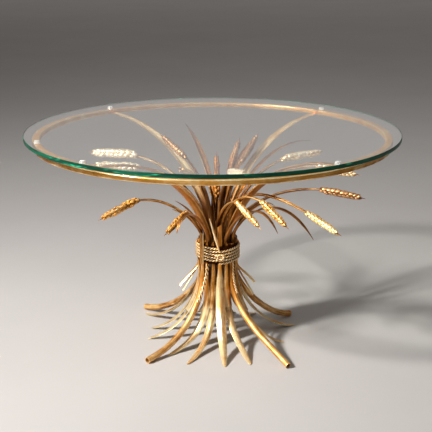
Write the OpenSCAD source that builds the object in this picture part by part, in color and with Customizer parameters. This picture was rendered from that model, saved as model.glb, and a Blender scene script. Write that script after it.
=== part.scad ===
// Low round table: a glass top on a gilt metal wheat sheaf tied at the waist with twine.
// Millimetres, +Z up, origin on the floor below the middle of the glass.

/* [Glass top] */
// Diameter of the loose glass
glass_d = 750; // [740:2:800]
// Thickness of the glass
glass_t = 8; // [6:0.5:12]
// Ground bevel along both edges of the glass
glass_bevel = 1; // [0.5:0.1:2]

/* [Pads] */
// Diameter of each clear pad under the glass
pad_d = 12; // [8:0.5:14]
// Height of each clear pad
pad_h = 6; // [3:0.5:8]

/* [Ring] */
// How far the ring's outer edge stands in from the edge of the glass
ring_inset = 17; // [10:1:30]
// Width of the ring's flat bar, seen from above
ring_w = 15; // [15:0.5:20]
// Height of the ring's flat bar
ring_t = 10; // [6:0.5:14]
// Rounding along the bar's long edges
ring_edge_r = 2; // [1:0.25:3]
// Height of the ring's underside above the floor
ring_z = 422; // [418:1:450]

/* [Sheaf] */
// How far the sheaf's axis stands right of the middle of the glass
sheaf_x = 10; // [0:1:14]
// Height of the middle of the tied waist
waist_z = 195; // [190:1:205]
// Clear gap between pieces that lie side by side
fit_gap = 0.3; // [0.3:0.05:0.4]

/* [Tube legs] */
// Outside diameter of the four tube legs
leg_d = 13; // [12:0.25:14]
// Wall of the tube legs
leg_wall = 1.5; // [1:0.1:2.5]

/* [Floor stalks] */
// Width at the waist of the four floor stalks at the front
front_stalk_w = 12; // [11:0.1:12.4]
// Width at the waist of the floor stalks at the sides and the back
side_stalk_w = 10.4; // [10:0.1:10.8]
// Width of a floor stalk at its broadest
stalk_belly_w = 17.5; // [14:0.5:18.5]
// Width of a floor stalk where it starts to taper to its tip
stalk_shin_w = 13; // [11:0.5:15]
// Width of a floor stalk at its tip
stalk_tip_w = 5; // [3:0.5:7]
// Thickness of the metal in the middle of a floor stalk
stalk_t = 2; // [1.6:0.1:2.2]
// How deep the stalk's channel is rolled
stalk_roll = 3.5; // [2.5:0.1:3.8]

/* [Supports] */
// Width of a support blade where it is tied
support_w = 14; // [12:0.5:14]
// Width of a front support at its broadest
front_belly_w = 24; // [18:0.5:25]
// Width of a back support at its broadest
back_belly_w = 15; // [13:0.5:20]
// Width of a support blade under the ring
support_tip_w = 13; // [10:0.5:14]
// Thickness of a support blade
support_t = 3; // [2.5:0.25:4]

/* [Ears and leaves] */
// Diameter of the round butt of each ear and leaf, where it is tied
butt_d = 7.5; // [7:0.1:7.6]
// Width of the rolled strip that bends from the waist to an ear
stem_w = 8.5; // [6:0.5:10]
// Width of that strip where it meets the ear
stem_end_w = 4.5; // [3:0.5:6]
// Thickness of that strip
stem_t = 2.6; // [2:0.2:3.6]
// Length of an ear
ear_len = 85; // [80:1:96]
// Width of an ear over its four rows of grains
ear_w = 16; // [14:0.5:18]
// Depth of an ear
ear_deep = 14; // [12:0.5:16]
// Grains in each row of an ear
ear_grains = 9; // [7:1:10]
// Width of a leaf at its broadest
leaf_w = 14; // [10:0.5:16]
// Thickness of a leaf along its crease
leaf_t = 1.8; // [1.4:0.1:2.4]

/* [Twine] */
// Diameter of the twisted wire twine
twine_d = 4; // [3.6:0.1:4.2]
// Thickness of the left tail, where both ends of the twine are laid together
left_tail_d = 6.4; // [5:0.2:8]
// Rise of the twine in one turn
twine_pitch = 6.4; // [5.8:0.1:7]
// Whole turns round the waist
twine_turns = 5; // [4:1:6]
// Size of the overhand knot: its half width is three and a half times this
knot_s = 2.4; // [2.4:0.1:3]

/* [Hidden] */

gilt = "goldenrod";
bronze = "darkgoldenrod";
straw = "khaki";
$fn = 48;

// Heights of the stack that carries the glass
pad_z = ring_z + ring_t;
glass_z = pad_z + pad_h;
ring_d = glass_d - 2 * ring_inset;
ring_mid_r = (ring_d - ring_w) / 2;
// Azimuths of the clear pads: one over each support and one more at the left
pad_azimuths = [46, 131, 196, 229, 309];

// Tube legs, floor stalks and short butts stand side by side in one ring at the waist. Each row: name,
// azimuth of the foot, reach of the foot, height of the top above the waist, width at the waist, and the
// bend: how far the knee lies down the drop, how far out the shin lies, and how high the heel is, as shares
feet = [
    ["leg_front_left", 225, 199, 22, leg_d, [0.4, 0.25, 0.1]],
    ["stalk_front_1", 225.5, 144, 24, front_stalk_w, [0.66, 0.12, 0.14]],
    ["stalk_front_2", 247.6, 159, 28, front_stalk_w, [0.7, 0.12, 0.1]],
    ["stalk_front_3", 275, 160, 62, front_stalk_w, [0.45, 0.3, 0.2]],
    ["stalk_front_4", 293.5, 163, 25, front_stalk_w, [0.62, 0.12, 0.3]],
    ["leg_front_right", 310, 216, 21, leg_d, [0.6, 0.55, 0.25]],
    ["stalk_right_1", 346.3, 143, 26, side_stalk_w, [0.38, 0.4, 0.05]],
    ["butts_right", 350, 80, 22, side_stalk_w, []],
    ["stalk_right_2", 20.2, 178, 24, side_stalk_w, [0.44, 0.4, 0.1]],
    ["leg_back_right", 36, 199, 22, leg_d, [0.3, 0.55, 0.1]],
    ["stalk_back_1", 58, 160, 26, side_stalk_w, [0.44, 0.4, 0.1]],
    ["stalk_back_2", 76, 150, 23, side_stalk_w, [0.44, 0.4, 0.1]],
    ["stalk_back_3", 94, 165, 27, side_stalk_w, [0.44, 0.4, 0.1]],
    ["stalk_back_4", 112, 150, 24, side_stalk_w, [0.44, 0.4, 0.1]],
    ["leg_back_left", 135.6, 226, 21, leg_d, [0.2, 0.35, 0.15]],
    ["stalk_left_1", 141, 204, 25, side_stalk_w, [0.3, 0.4, 0.1]],
    ["stalk_left_2", 163, 149, 23, side_stalk_w, [0.5, 0.4, 0.15]],
    ["butts_left", 190, 80, 22, side_stalk_w, []],
    ["stalk_left_3", 185.7, 147, 26, side_stalk_w, [0.5, 0.4, 0.15]]
];
// The place in that ring of the piece with a name, and what its row says
function foot(name) = search([name], feet)[0];
function foot_azimuth(i) = feet[i][1];
function foot_reach(i) = feet[i][2];
function foot_top(i) = waist_z + feet[i][3];
function foot_width(i) = feet[i][4];
function foot_bend(i) = feet[i][5];
first_foot_azimuth = 216;
foot_count = len(feet);
function foot_room(i) = foot_width(i) + fit_gap;
function sum(v, i = 0) = i < len(v) ? v[i] + sum(v, i + 1) : 0;
all_foot_room = sum([for (i = [0:foot_count - 1]) foot_room(i)]);
// Running measure from the middle of the first foot to the middle of foot i
function foot_run(i) = i == 0 ? 0 : foot_run(i - 1) + (foot_room(i - 1) + foot_room(i)) / 2;
function foot_slot(i) = first_foot_azimuth + 360 * foot_run(i) / all_foot_room;
// A chord is a little shorter than its arc, which this factor allows for
chord_room = 1.008;
leg_ring_r = chord_room * all_foot_room / (2 * PI);
bundle_r = leg_ring_r + leg_d / 2;
// Where a stalk lies inside a sheath, it stands this much further in
nested_back = stalk_t + fit_gap;

// Three rings of round butts stand inside the feet, each against the one outside it
outer_butt_r = bundle_r - stalk_t - fit_gap - butt_d / 2;
middle_butt_r = leg_ring_r - leg_d / 2 - fit_gap - butt_d / 2;
inner_butt_r = middle_butt_r - butt_d - fit_gap;

// Heights of the tied stretch, above and below the middle of the waist
tie_rise = 30;
tie_drop = 27;
tie_top = waist_z + tie_rise;
tie_low = waist_z - tie_drop;

function polar(r, a) = [r * cos(a), r * sin(a)];
function from_axis(r, a) = polar(r, a) + [sheaf_x, 0];

// A cubic curve through four control points
function bez(p, t) =
    pow(1 - t, 3) * p[0] + 3 * t * pow(1 - t, 2) * p[1] + 3 * t * t * (1 - t) * p[2] + pow(t, 3) * p[3];
function bez_run(p, t) =
    let (d = 3 * pow(1 - t, 2) * (p[1] - p[0]) + 6 * t * (1 - t) * (p[2] - p[1]) + 3 * t * t * (p[3] - p[2]))
    d / norm(d);
// Length along the curve against its parameter, for placing rings at equal steps
CURVE_STEPS = 40;
function length_table(p, i = 0, run = 0) =
    i > CURVE_STEPS ? [] : concat([[run, i / CURVE_STEPS]],
        length_table(p, i + 1, run + norm(bez(p, min(1, (i + 1) / CURVE_STEPS)) - bez(p, i / CURVE_STEPS))));

// One ring of a lofted stalk: outline points [across, out] carried to a place [reach, height]
// with the direction of run; the side that faces away from the sheaf's axis is out.
function ring_at(place, run, outline, rising) =
    let (out = rising ? [run.y, -run.x] : [-run.y, run.x])
    [for (q = outline) [place.x + out.x * q.y, rising ? -q.x : q.x, max(0, place.y + out.y * q.y)]];

// Skin over rings of equally many points, with an end on the first and the last ring, or, where it is
// closed, with the last ring joined to the first
module loft(rings, closed = false) {
    m = len(rings[0]);
    n = len(rings);
    walls = [for (i = [0:n - (closed ? 1 : 2)]) for (j = [0:m - 1])
        let (a = i * m, b = (i + 1) % n * m, k = (j + 1) % m)
        each [[a + j, a + k, b + j], [a + k, b + k, b + j]]];
    caps = closed ? [] : [[for (j = [m - 1:-1:0]) j], [for (j = [0:m - 1]) (n - 1) * m + j]];
    polyhedron(points = [for (r = rings) each r], faces = concat(walls, caps), convexity = 6);
}

// Outline of a rolled channel: half width, half thickness, how deep it is rolled
SIDES = 8;
function channel(half_w, half_t, roll) =
    [for (k = [0:SIDES - 1]) let (a = -360 * k / SIDES)
        [half_w * cos(a), half_t * sin(a) - half_t - roll * pow(cos(a), 2)]];
// Outline of a leaf creased along its middle
function creased(half_w, half_t, fold) =
    [for (k = [0:SIDES - 1]) let (a = -360 * k / SIDES)
        [half_w * cos(a), half_t * sin(a) - fold * abs(cos(a))]];
function oval(half_w, half_d) =
    [for (k = [0:SIDES - 1]) let (a = -360 * k / SIDES) [half_w * cos(a), half_d * sin(a)]];

// Places a piece drawn in its own upright plane: it stands at one point and leans to another
module toward(stand, target) {
    aim = target - stand;
    translate([stand.x, stand.y, 0]) rotate([0, 0, atan2(aim.y, aim.x)]) children();
}

module glass_top() {
    r = glass_d / 2;
    color("lightcyan", 0.4) translate([0, 0, glass_z])
        rotate_extrude($fn = 180)
            polygon([[0, 0], [r - glass_bevel, 0], [r, glass_bevel], [r, glass_t - glass_bevel],
                [r - glass_bevel, glass_t], [0, glass_t]]);
}

module glass_pads() {
    color("white") for (a = pad_azimuths)
        translate([ring_mid_r * cos(a), ring_mid_r * sin(a), pad_z])
            cylinder(d = pad_d, h = pad_h, $fn = 32);
}

module top_ring() {
    color(gilt) translate([0, 0, ring_z]) rotate_extrude($fn = 180)
        translate([ring_mid_r, 0]) rounded_bar(ring_w, ring_t, ring_edge_r);
}

// A flat bar's cross-section with round corners, its underside on the axis line
module rounded_bar(w, h, r) {
    translate([-w / 2, r]) square([w, h - 2 * r]);
    translate([-w / 2 + r, 0]) square([w - 2 * r, h]);
    for (x = [-w / 2 + r, w / 2 - r], y = [r, h - r])
        translate([x, y]) circle(r = r, $fn = 24);
}

// How a support bends: height above the waist up to which it is upright, how far out and how high above
// the waist the point lies that it then leans towards, and the share of its reach at which it is level
front_support_bend = [25, 28, 88, 0.35];
back_support_bend = [40, 12, 105, 0.37];
SUPPORT_RINGS = 12;
// Each support goes by its azimuth
module support(azimuth, belly_w, bend) {
    stand = from_axis(middle_butt_r + butt_d / 2, azimuth);
    target = polar(ring_mid_r, azimuth);
    reach = norm(target - stand);
    end_z = ring_z - fit_gap + min([for (q = support_outline(1, belly_w)) q.y]);
    curve = [[0, waist_z + bend[0]], [bend[1], waist_z + bend[2]], [bend[3] * reach, end_z], [reach, end_z]];
    lengths = length_table(curve);
    whole = lengths[CURVE_STEPS][0];
    low = [for (z = [tie_low, waist_z])
        ring_at([0, z], [0, 1], support_outline(0, belly_w), true)];
    high = [for (i = [0:SUPPORT_RINGS])
        let (t = lookup(whole * i / SUPPORT_RINGS, lengths))
        ring_at(bez(curve, t), bez_run(curve, t), support_outline(i / SUPPORT_RINGS, belly_w), true)];
    color(gilt) toward(stand, target) loft(concat(low, high));
}
function support_outline(f, belly_w) =
    channel(lookup(f, [[0, support_w / 2], [0.2, belly_w / 2], [0.5, belly_w / 2], [1, support_tip_w / 2]]),
        support_t / 2, lookup(f, [[0, 2.5], [0.3, 4], [1, 1.5]]));

// The curve from the waist down to a foot, for its reach, bend and the height of its end
function foot_curve(reach, bend, end_z) = [[0, tie_low], [0, tie_low * (1 - bend[0])],
    [bend[1] * reach, tie_low * bend[2]], [reach, end_z]];

// A tube leg: upright at the waist, then one long curve down to the floor
LEG_RINGS = 8;
LEG_SIDES = 16;
function round_outline(r, sides) =
    [for (k = [0:sides - 1]) let (a = -360 * k / sides) [r * cos(a), r * sin(a)]];
// The lower edge of the leg's square-cut end touches the floor
function leg_curve(reach, bend) =
    let (run = [reach * (1 - bend[1]), tie_low * bend[2] - leg_d / 2])
    foot_curve(reach, bend, leg_d / 2 * run.x / norm(run));
function leg_rings(curve, top_z, outline) =
    let (lengths = length_table(curve), whole = lengths[CURVE_STEPS][0])
    concat([ring_at([0, top_z], [0, -1], outline, false)],
        [for (k = [0:LEG_RINGS])
            let (t = lookup(whole * k / LEG_RINGS, lengths))
            ring_at(bez(curve, t), bez_run(curve, t), outline, false)]);
module tube_leg(name) {
    i = foot(name);
    stand = from_axis(leg_ring_r, foot_slot(i));
    target = from_axis(foot_reach(i), foot_azimuth(i));
    curve = leg_curve(norm(target - stand), foot_bend(i));
    outside = leg_rings(curve, foot_top(i), round_outline(leg_d / 2, LEG_SIDES));
    bore = leg_rings(curve, foot_top(i), round_outline(leg_d / 2 - leg_wall, LEG_SIDES));
    color(bronze) toward(stand, target)
        loft(concat(outside, [for (k = [len(bore) - 1:-1:0]) bore[k]]), closed = true);
}

// A floor stalk: a rolled strip that leaves the waist upright and runs to a point on the floor
stalk_tip_z = 1.5;
// Share of its run by which a stalk has turned to face its foot
stalk_untwist = 0.7;
// Share of its roll that a stalk keeps where it lies inside a sheath
nested_roll = 0.7;
// How much narrower a stalk is on each side inside a sheath
nested_in = 1.2;
STALK_RINGS = 8;
function stalk_half_w(f, waist_w) =
    lookup(f, [[0, waist_w], [0.44, stalk_belly_w], [0.88, stalk_shin_w], [1, stalk_tip_w]]) / 2;
function turned(outline, a) =
    [for (q = outline) [q.x * cos(a) + q.y * sin(a), q.y * cos(a) - q.x * sin(a)]];
// The outline faces straight out where it is tied and turns towards the foot on its way down
function stalk_outline(f, waist_w, nested, turn) =
    let (within = nested ? lookup(f, [[0.6, 1], [1, 0]]) : 0)
    turned([for (q = channel(stalk_half_w(f, waist_w) - nested_in * within, stalk_t / 2,
            lookup(f, [[0.7, stalk_roll], [1, 0.4]]) * (nested ? nested_roll : 1)))
        [q.x, q.y - nested_back * within]], turn * lookup(f, [[0, 1], [stalk_untwist, 0]]));
// How far a piece's place in the ring is turned from the direction in which it leaves
function turn_from(slot, stand, target) =
    let (a = slot - atan2(target.y - stand.y, target.x - stand.x)) a - 360 * round(a / 360);
// Rings down the stalk from its top, as far as the given share of its run below the waist
function stalk_rings(curve, top_z, waist_w, nested, steps, share, turn) =
    let (lengths = length_table(curve), whole = lengths[CURVE_STEPS][0])
    concat([ring_at([0, top_z], [0, -1], stalk_outline(0, waist_w, nested, turn), false)],
        [for (k = [0:steps])
            let (f = share * k / steps, t = lookup(whole * f, lengths))
            ring_at(bez(curve, t), bez_run(curve, t), stalk_outline(f, waist_w, nested, turn), false)]);
module floor_stalk(name, nested = false) {
    i = foot(name);
    stand = from_axis(bundle_r, foot_slot(i));
    target = from_axis(foot_reach(i), foot_azimuth(i));
    color(gilt) toward(stand, target)
        loft(stalk_rings(foot_curve(norm(target - stand), foot_bend(i), stalk_tip_z), foot_top(i),
            foot_width(i), nested, STALK_RINGS, 1, turn_from(foot_slot(i), stand, target)));
}
// How far the top of a sheath lies below the top of its stalk
sheath_drop = 4;
// The square-cut sheath that the upper part of some stalks lies in, over that many of the stalk's rings
module stalk_sheath(name, rings) {
    i = foot(name);
    stand = from_axis(bundle_r, foot_slot(i));
    target = from_axis(foot_reach(i), foot_azimuth(i));
    toward(stand, target)
        loft(stalk_rings(foot_curve(norm(target - stand), foot_bend(i), stalk_tip_z),
            foot_top(i) - sheath_drop, foot_width(i), false, rings, rings / STALK_RINGS,
            turn_from(foot_slot(i), stand, target)));
}
module stalk_sheaths() {
    color(gilt) {
        stalk_sheath("stalk_front_2", 3);
        stalk_sheath("stalk_front_4", 3);
        stalk_sheath("stalk_right_1", 4);
        stalk_sheath("stalk_left_3", 4);
    }
}
// Short butts end in the air below the waist, two at the right and two at the left
BUTT_RINGS = 4;
short_butt_w = 9;
// How far a short butt runs straight on below the tied stretch, and how far it bows upwards after that
short_butt_straight = 12;
short_butt_bow = 2;
// Each is given by its place in the ring, reach of its tip, how far the tip hangs below the tied stretch,
// and whether it lies inside the other of its pair
module short_butt(name, tip_reach, drop, nested) {
    i = foot(name);
    stand = from_axis(bundle_r - (nested ? nested_back : 0), foot_slot(i));
    target = from_axis(tip_reach, foot_azimuth(i));
    reach = norm(target - stand);
    curve = [[0, tie_low], [0, tie_low - short_butt_straight],
        [reach / 2, tie_low - drop / 2 + short_butt_bow], [reach, tie_low - drop]];
    outline = channel(short_butt_w / 2 - (nested ? nested_in : 0), stalk_t / 2,
        stalk_roll * (nested ? nested_roll : 1) * short_butt_w / front_stalk_w);
    turn = turn_from(foot_slot(i), stand, target);
    toward(stand, target)
        loft(concat([ring_at([0, foot_top(i)], [0, -1], turned(outline, turn), false)],
            [for (k = [0:BUTT_RINGS])
                ring_at(bez(curve, k / BUTT_RINGS), bez_run(curve, k / BUTT_RINGS),
                    turned(outline, turn * (1 - k / BUTT_RINGS)), false)]));
}
module short_butts() {
    color(gilt) {
        short_butt("butts_right", 80, 40, false);
        short_butt("butts_right", 77, 68, true);
        short_butt("butts_left", 81, 47, false);
        short_butt("butts_left", 75, 59, true);
    }
}

// Ears and leaves. Each row: ring of butts it stands in, azimuth there, azimuth and reach of the tip,
// height of the tip above the waist, how far out and how far above the waist the point lies that its end
// runs from, height of its lift
OUTER = outer_butt_r;
MIDDLE = middle_butt_r;
INNER = inner_butt_r;
BEHIND_SUPPORT = middle_butt_r - support_t - fit_gap;
BEHIND_SHEATH = outer_butt_r - nested_back;
function behind(name) = foot_slot(foot(name));
function grown_curve(row) =
    let (stand = from_axis(row[0], row[1]), tip = from_axis(row[3], row[2]),
        reach = norm(tip - stand),
        start = [0, tie_top],
        lift = [0, tie_top + row[7]],
        shoulder = [row[5], waist_z + row[6]],
        end = [reach, waist_z + row[4]])
    [start, lift, shoulder, end];

// Outline of an ear at grain step k: the four rows stand at the corners and bulge in turn, in a zigzag
EAR_STEPS = 2 * ear_grains;
grain_bulge = 0.26;
function ear_swell(e) = lookup(e, [[0, 0.45], [0.12, 0.85], [0.35, 1], [0.75, 0.86], [1, 0.25]]);
function ear_outline(k) =
    let (size = ear_swell(k / EAR_STEPS))
    [for (j = [0:SIDES - 1]) let (a = -360 * j / SIDES,
            side = sin(2 * a) * (k % 2 == 0 ? 1 : -1),
            grow = k == 0 || k == EAR_STEPS ? 0.6 : 1 - grain_bulge + grain_bulge * side,
            corner = 1 / max(abs(cos(a)), abs(sin(a))))
        size * grow * corner * [ear_w / 2 * cos(a), ear_deep / 2 * sin(a)]];
STEM_RINGS = 6;
module ear(row) {
    curve = grown_curve(row);
    lengths = length_table(curve);
    whole = lengths[CURVE_STEPS][0];
    stem = whole - ear_len;
    butt = oval(butt_d / 2, butt_d / 2);
    rod = [for (k = [0:STEM_RINGS])
        let (f = k / STEM_RINGS, t = lookup(stem * f, lengths),
            half_w = lookup(f, [[0, butt_d / 2], [0.5, stem_w / 2], [1, stem_end_w / 2]]),
            half_t = lookup(f, [[0, butt_d / 2], [0.4, stem_t / 2], [1, stem_t / 2]]))
        ring_at(bez(curve, t), bez_run(curve, t), oval(half_w, half_t), true)];
    // The stem bends, and the ear itself is straight
    base = bez(curve, lookup(stem, lengths));
    tip = curve[3];
    grains = [for (k = [0:EAR_STEPS])
        ring_at(base + (tip - base) * (k + 0.5) / (EAR_STEPS + 0.5), (tip - base) / norm(tip - base),
            ear_outline(k), true)];
    color(gilt) toward(from_axis(row[0], row[1]), from_axis(row[3], row[2]))
        loft(concat([ring_at([0, tie_low], [0, 1], butt, true)], rod, grains));
}

// A leaf grows from its round butt into a creased blade that ends in a point
LEAF_RINGS = 10;
leaf_fold = 2.5;
function leaf_outline(f) =
    creased(lookup(f, [[0, butt_d / 2], [0.25, leaf_w * 0.36], [0.6, leaf_w / 2], [1, leaf_t / 2]]),
        lookup(f, [[0, butt_d / 2], [0.25, leaf_t * 0.8], [0.5, leaf_t / 2], [1, leaf_t / 4]]),
        lookup(f, [[0, 0], [0.3, leaf_fold], [0.7, leaf_fold], [1, 0.3]]));
module leaf(row) {
    curve = grown_curve(row);
    lengths = length_table(curve);
    whole = lengths[CURVE_STEPS][0];
    blade = [for (k = [0:LEAF_RINGS])
        let (t = lookup(whole * k / LEAF_RINGS, lengths))
        ring_at(bez(curve, t), bez_run(curve, t), leaf_outline(k / LEAF_RINGS), true)];
    color(bronze) toward(from_axis(row[0], row[1]), from_axis(row[3], row[2]))
        loft(concat([ring_at([0, tie_low], [0, 1], leaf_outline(0), true)], blade));
}

// A round tube through points in space; aside is a direction that no stretch of it runs along
TUBE_SIDES = 6;
function unit(v) = v / norm(v);
function tube_rings(points, r, aside) =
    [for (i = [0:len(points) - 1])
        let (run = unit(points[min(i + 1, len(points) - 1)] - points[max(i - 1, 0)]),
            across = unit(cross(run, aside)), up = cross(across, run))
        [for (k = [0:TUBE_SIDES - 1]) let (a = 360 * k / TUBE_SIDES)
            points[i] + r * (across * cos(a) + up * sin(a))]];
// The same line, run on straight for one diameter at both ends
function with_straight_ends(line, d) =
    let (n = len(line) - 1)
    concat([line[0] + d * unit(line[0] - line[1])], line, [line[n] + d * unit(line[n] - line[n - 1])]);
// Least distance between stretches of a line that are more than half a loop apart along it
function least_gap(line, apart, d) =
    min([for (i = [0:len(line) - 1 - apart]) for (j = [i + apart:len(line) - 1])
        norm(line[i] - line[j])]) - d;

TURN_RINGS = 24;
knot_azimuth = 274;
coil_r = bundle_r + fit_gap + twine_d / 2;
function coil_line() =
    [for (i = [0:twine_turns * TURN_RINGS])
        let (turn = i / TURN_RINGS, a = knot_azimuth + 360 * turn)
        [sheaf_x + coil_r * cos(a), coil_r * sin(a), waist_z + twine_pitch * (turn - twine_turns / 2)]];
echo(least_gap_of_the_twine = least_gap(coil_line(), TURN_RINGS / 2, twine_d));
module binding_twine() {
    color(straw) loft(tube_rings(with_straight_ends(coil_line(), twine_d), twine_d / 2, [0, 0, 1]));
}

// An overhand knot of the same twine, in front of the turns: a trefoil line that is left open below
knot_spread = 2.5;
knot_depth = 3.5;
knot_open = 35;
// How far the middle of the knot lies below the middle of the waist
knot_drop = 4;
KNOT_RINGS = 36;
function knot_line() =
    [for (i = [0:KNOT_RINGS])
        let (t = 180 + knot_open + (360 - 2 * knot_open) * i / KNOT_RINGS)
        [knot_s * (sin(t) + knot_spread * sin(2 * t)), -knot_depth * sin(3 * t),
            knot_s * (cos(t) - knot_spread * cos(2 * t))]];
echo(least_gap_of_the_knot = least_gap(knot_line(), KNOT_RINGS / 6, twine_d));
module twine_knot() {
    stand_off = coil_r + twine_d + fit_gap + knot_depth;
    color(straw) translate([sheaf_x, 0, waist_z - knot_drop]) rotate([0, 0, knot_azimuth + 90])
        translate([0, -stand_off, 0])
            loft(tube_rings(with_straight_ends(knot_line(), twine_d), twine_d / 2, [0, 1, 0]));
}

// The twine's two tails run down from under the turns, one over a stalk and one on a leg
TAIL_RINGS = 9;
tail_top = waist_z - twine_pitch * twine_turns / 2 - twine_d;
// Control points of the left tail: how far it stands off the bundle, azimuth, drop
left_tail = [for (q = [[1, 243, 1], [1.8, 243, 26], [5.9, 236, 52], [14.9, 228, 82]])
    concat(from_axis(bundle_r + left_tail_d / 2 + q[0], q[1]), tail_top - q[2])];
// How far past the first of the leg's rings the right tail ends
right_tail_part = 0.35;
module twine_tails() {
    i = foot("leg_front_right");
    stand = from_axis(leg_ring_r, foot_slot(i));
    target = from_axis(foot_reach(i), foot_azimuth(i));
    outline = [for (q = round_outline(twine_d / 2, TUBE_SIDES)) q + [0, (leg_d + twine_d) / 2 + fit_gap]];
    along = leg_rings(leg_curve(norm(target - stand), foot_bend(i)), tail_top, outline);
    color(straw) {
        loft(tube_rings([for (k = [0:TAIL_RINGS]) bez(left_tail, k / TAIL_RINGS)],
            left_tail_d / 2, [0, 1, 0]));
        toward(stand, target)
            loft([along[0], along[1], along[2], along[2] + right_tail_part * (along[3] - along[2])]);
    }
}

// Over the turns of the twine lie a loose straw, from the knot up to its other azimuth, and a flat strip
straw_d = 3.2;
straw_azimuth = 250;
straw_low = 9;
straw_high = 78;
strip_w = 11;
strip_t = 2;
strip_len = 66;
strip_azimuth = 226;
// How far the strip's lower end lies below the middle of the waist
strip_drop = 22;
module tie_straws() {
    over = coil_r + twine_d / 2 + fit_gap;
    low = concat(from_axis(over + straw_d / 2, knot_azimuth), waist_z + straw_low);
    run = concat(from_axis(over + straw_d / 2, straw_azimuth), waist_z + straw_high) - low;
    color(straw) {
        translate(low) rotate([0, acos(run.z / norm(run)), atan2(run.y, run.x)])
            cylinder(d = straw_d, h = norm(run), $fn = 24);
        translate(concat(from_axis(over, strip_azimuth), waist_z - strip_drop)) rotate([0, 0, strip_azimuth])
            translate([0, -strip_w / 2]) cube([strip_t, strip_w, strip_len]);
    }
}

module ear_left_low() { ear([BEHIND_SHEATH, behind("stalk_left_3"), 203, 255, 90, 100, 180, 19]); }
module ear_front_left_low() { ear([MIDDLE, 192.9, 226, 152, 61, 92, 150, 22]); }
module ear_front_low() { ear([MIDDLE, 257.3, 303, 155, 80, 41, 186, 22]); }
module ear_front_right_low() { ear([MIDDLE, 281.5, 306, 227, 97, 58, 202, 38]); }
module ear_right_low() { ear([MIDDLE, 338.4, 320, 303, 87, 113, 155, 127]); }
module ear_right_mid() { ear([MIDDLE, 0.5, 338, 308, 138, 92, 180, 30]); }
module ear_left_high() { ear([MIDDLE, 155.5, 164, 280, 181, 48, 210, 28]); }
module ear_left_mid() { ear([MIDDLE, 174.2, 186, 254, 179, 69, 179, 92]); }
module ear_front_left_high() { ear([BEHIND_SUPPORT, 232, 233, 130, 191, 38, 195, 85]); }
module ear_front_right_high() { ear([INNER, 278, 291, 150, 190, 45, 205, 105]); }
module ear_back_left_high() { ear([BEHIND_SUPPORT, 130, 135, 172, 210, 58, 180, 85]); }
module ear_back_high() { ear([INNER, 91, 93, 45, 190, 13, 150, 60]); }
module ear_back_right_high() { ear([MIDDLE, 73, 63, 105, 211, 37, 165, 60]); }
module ear_back_right_upright() { ear([BEHIND_SUPPORT, 48, 54, 150, 213, 55, 165, 85]); }
module ear_right_high() { ear([MIDDLE, 19.8, 17, 234, 185, 31, 193, 22]); }
module ear_right_upper() { ear([INNER, 355.5, 352, 288, 166, 98, 209, 68]); }
module ear_back_low() { ear([OUTER, behind("stalk_back_4"), 95, 150, 105, 70, 150, 40]); }
module leaf_front_left() { leaf([OUTER, behind("stalk_front_1"), 240, 158, 75, 95, 151, 20]); }
module leaf_front_right() { leaf([BEHIND_SHEATH, behind("stalk_front_4"), 311, 176, 73, 80, 162, 6]); }
module leaf_right_front() { leaf([BEHIND_SHEATH, behind("stalk_right_1"), 328, 220, 55, 94, 172, 20]); }
module leaf_right() { leaf([BEHIND_SHEATH, behind("butts_right"), 5, 118, 88, 60, 116, 22]); }
module leaf_left() { leaf([BEHIND_SHEATH, behind("butts_left"), 197, 90, 110, 28, 90, 25]); }
module leaf_left_back() { leaf([OUTER, behind("stalk_left_2"), 155, 105, 72, 40, 65, 25]); }
module leaf_back_left_tall() { leaf([MIDDLE, 91, 109, 215, 216, 75, 184, 69]); }
module leaf_back_tall() { leaf([OUTER, behind("stalk_back_3"), 68, 185, 180, 75, 150, 50]); }
module leaf_right_curved() { leaf([INNER, 22.5, 28, 224, 198, 103, 220, 60]); }

module support_back_right() { support(48, back_belly_w, back_support_bend); }
module support_back_left() { support(130, back_belly_w, back_support_bend); }
module support_front_left() { support(232, front_belly_w, front_support_bend); }
module support_front_right() { support(313, front_belly_w, front_support_bend); }
module leg_front_left() { tube_leg("leg_front_left"); }
module leg_front_right() { tube_leg("leg_front_right"); }
module leg_back_right() { tube_leg("leg_back_right"); }
module leg_back_left() { tube_leg("leg_back_left"); }
module stalk_front_1() { floor_stalk("stalk_front_1"); }
module stalk_front_2() { floor_stalk("stalk_front_2", nested = true); }
module stalk_front_3() { floor_stalk("stalk_front_3"); }
module stalk_front_4() { floor_stalk("stalk_front_4", nested = true); }
module stalk_right_1() { floor_stalk("stalk_right_1", nested = true); }
module stalk_right_2() { floor_stalk("stalk_right_2"); }
module stalk_back_1() { floor_stalk("stalk_back_1"); }
module stalk_back_2() { floor_stalk("stalk_back_2"); }
module stalk_back_3() { floor_stalk("stalk_back_3"); }
module stalk_back_4() { floor_stalk("stalk_back_4"); }
module stalk_left_1() { floor_stalk("stalk_left_1"); }
module stalk_left_2() { floor_stalk("stalk_left_2"); }
module stalk_left_3() { floor_stalk("stalk_left_3", nested = true); }

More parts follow.
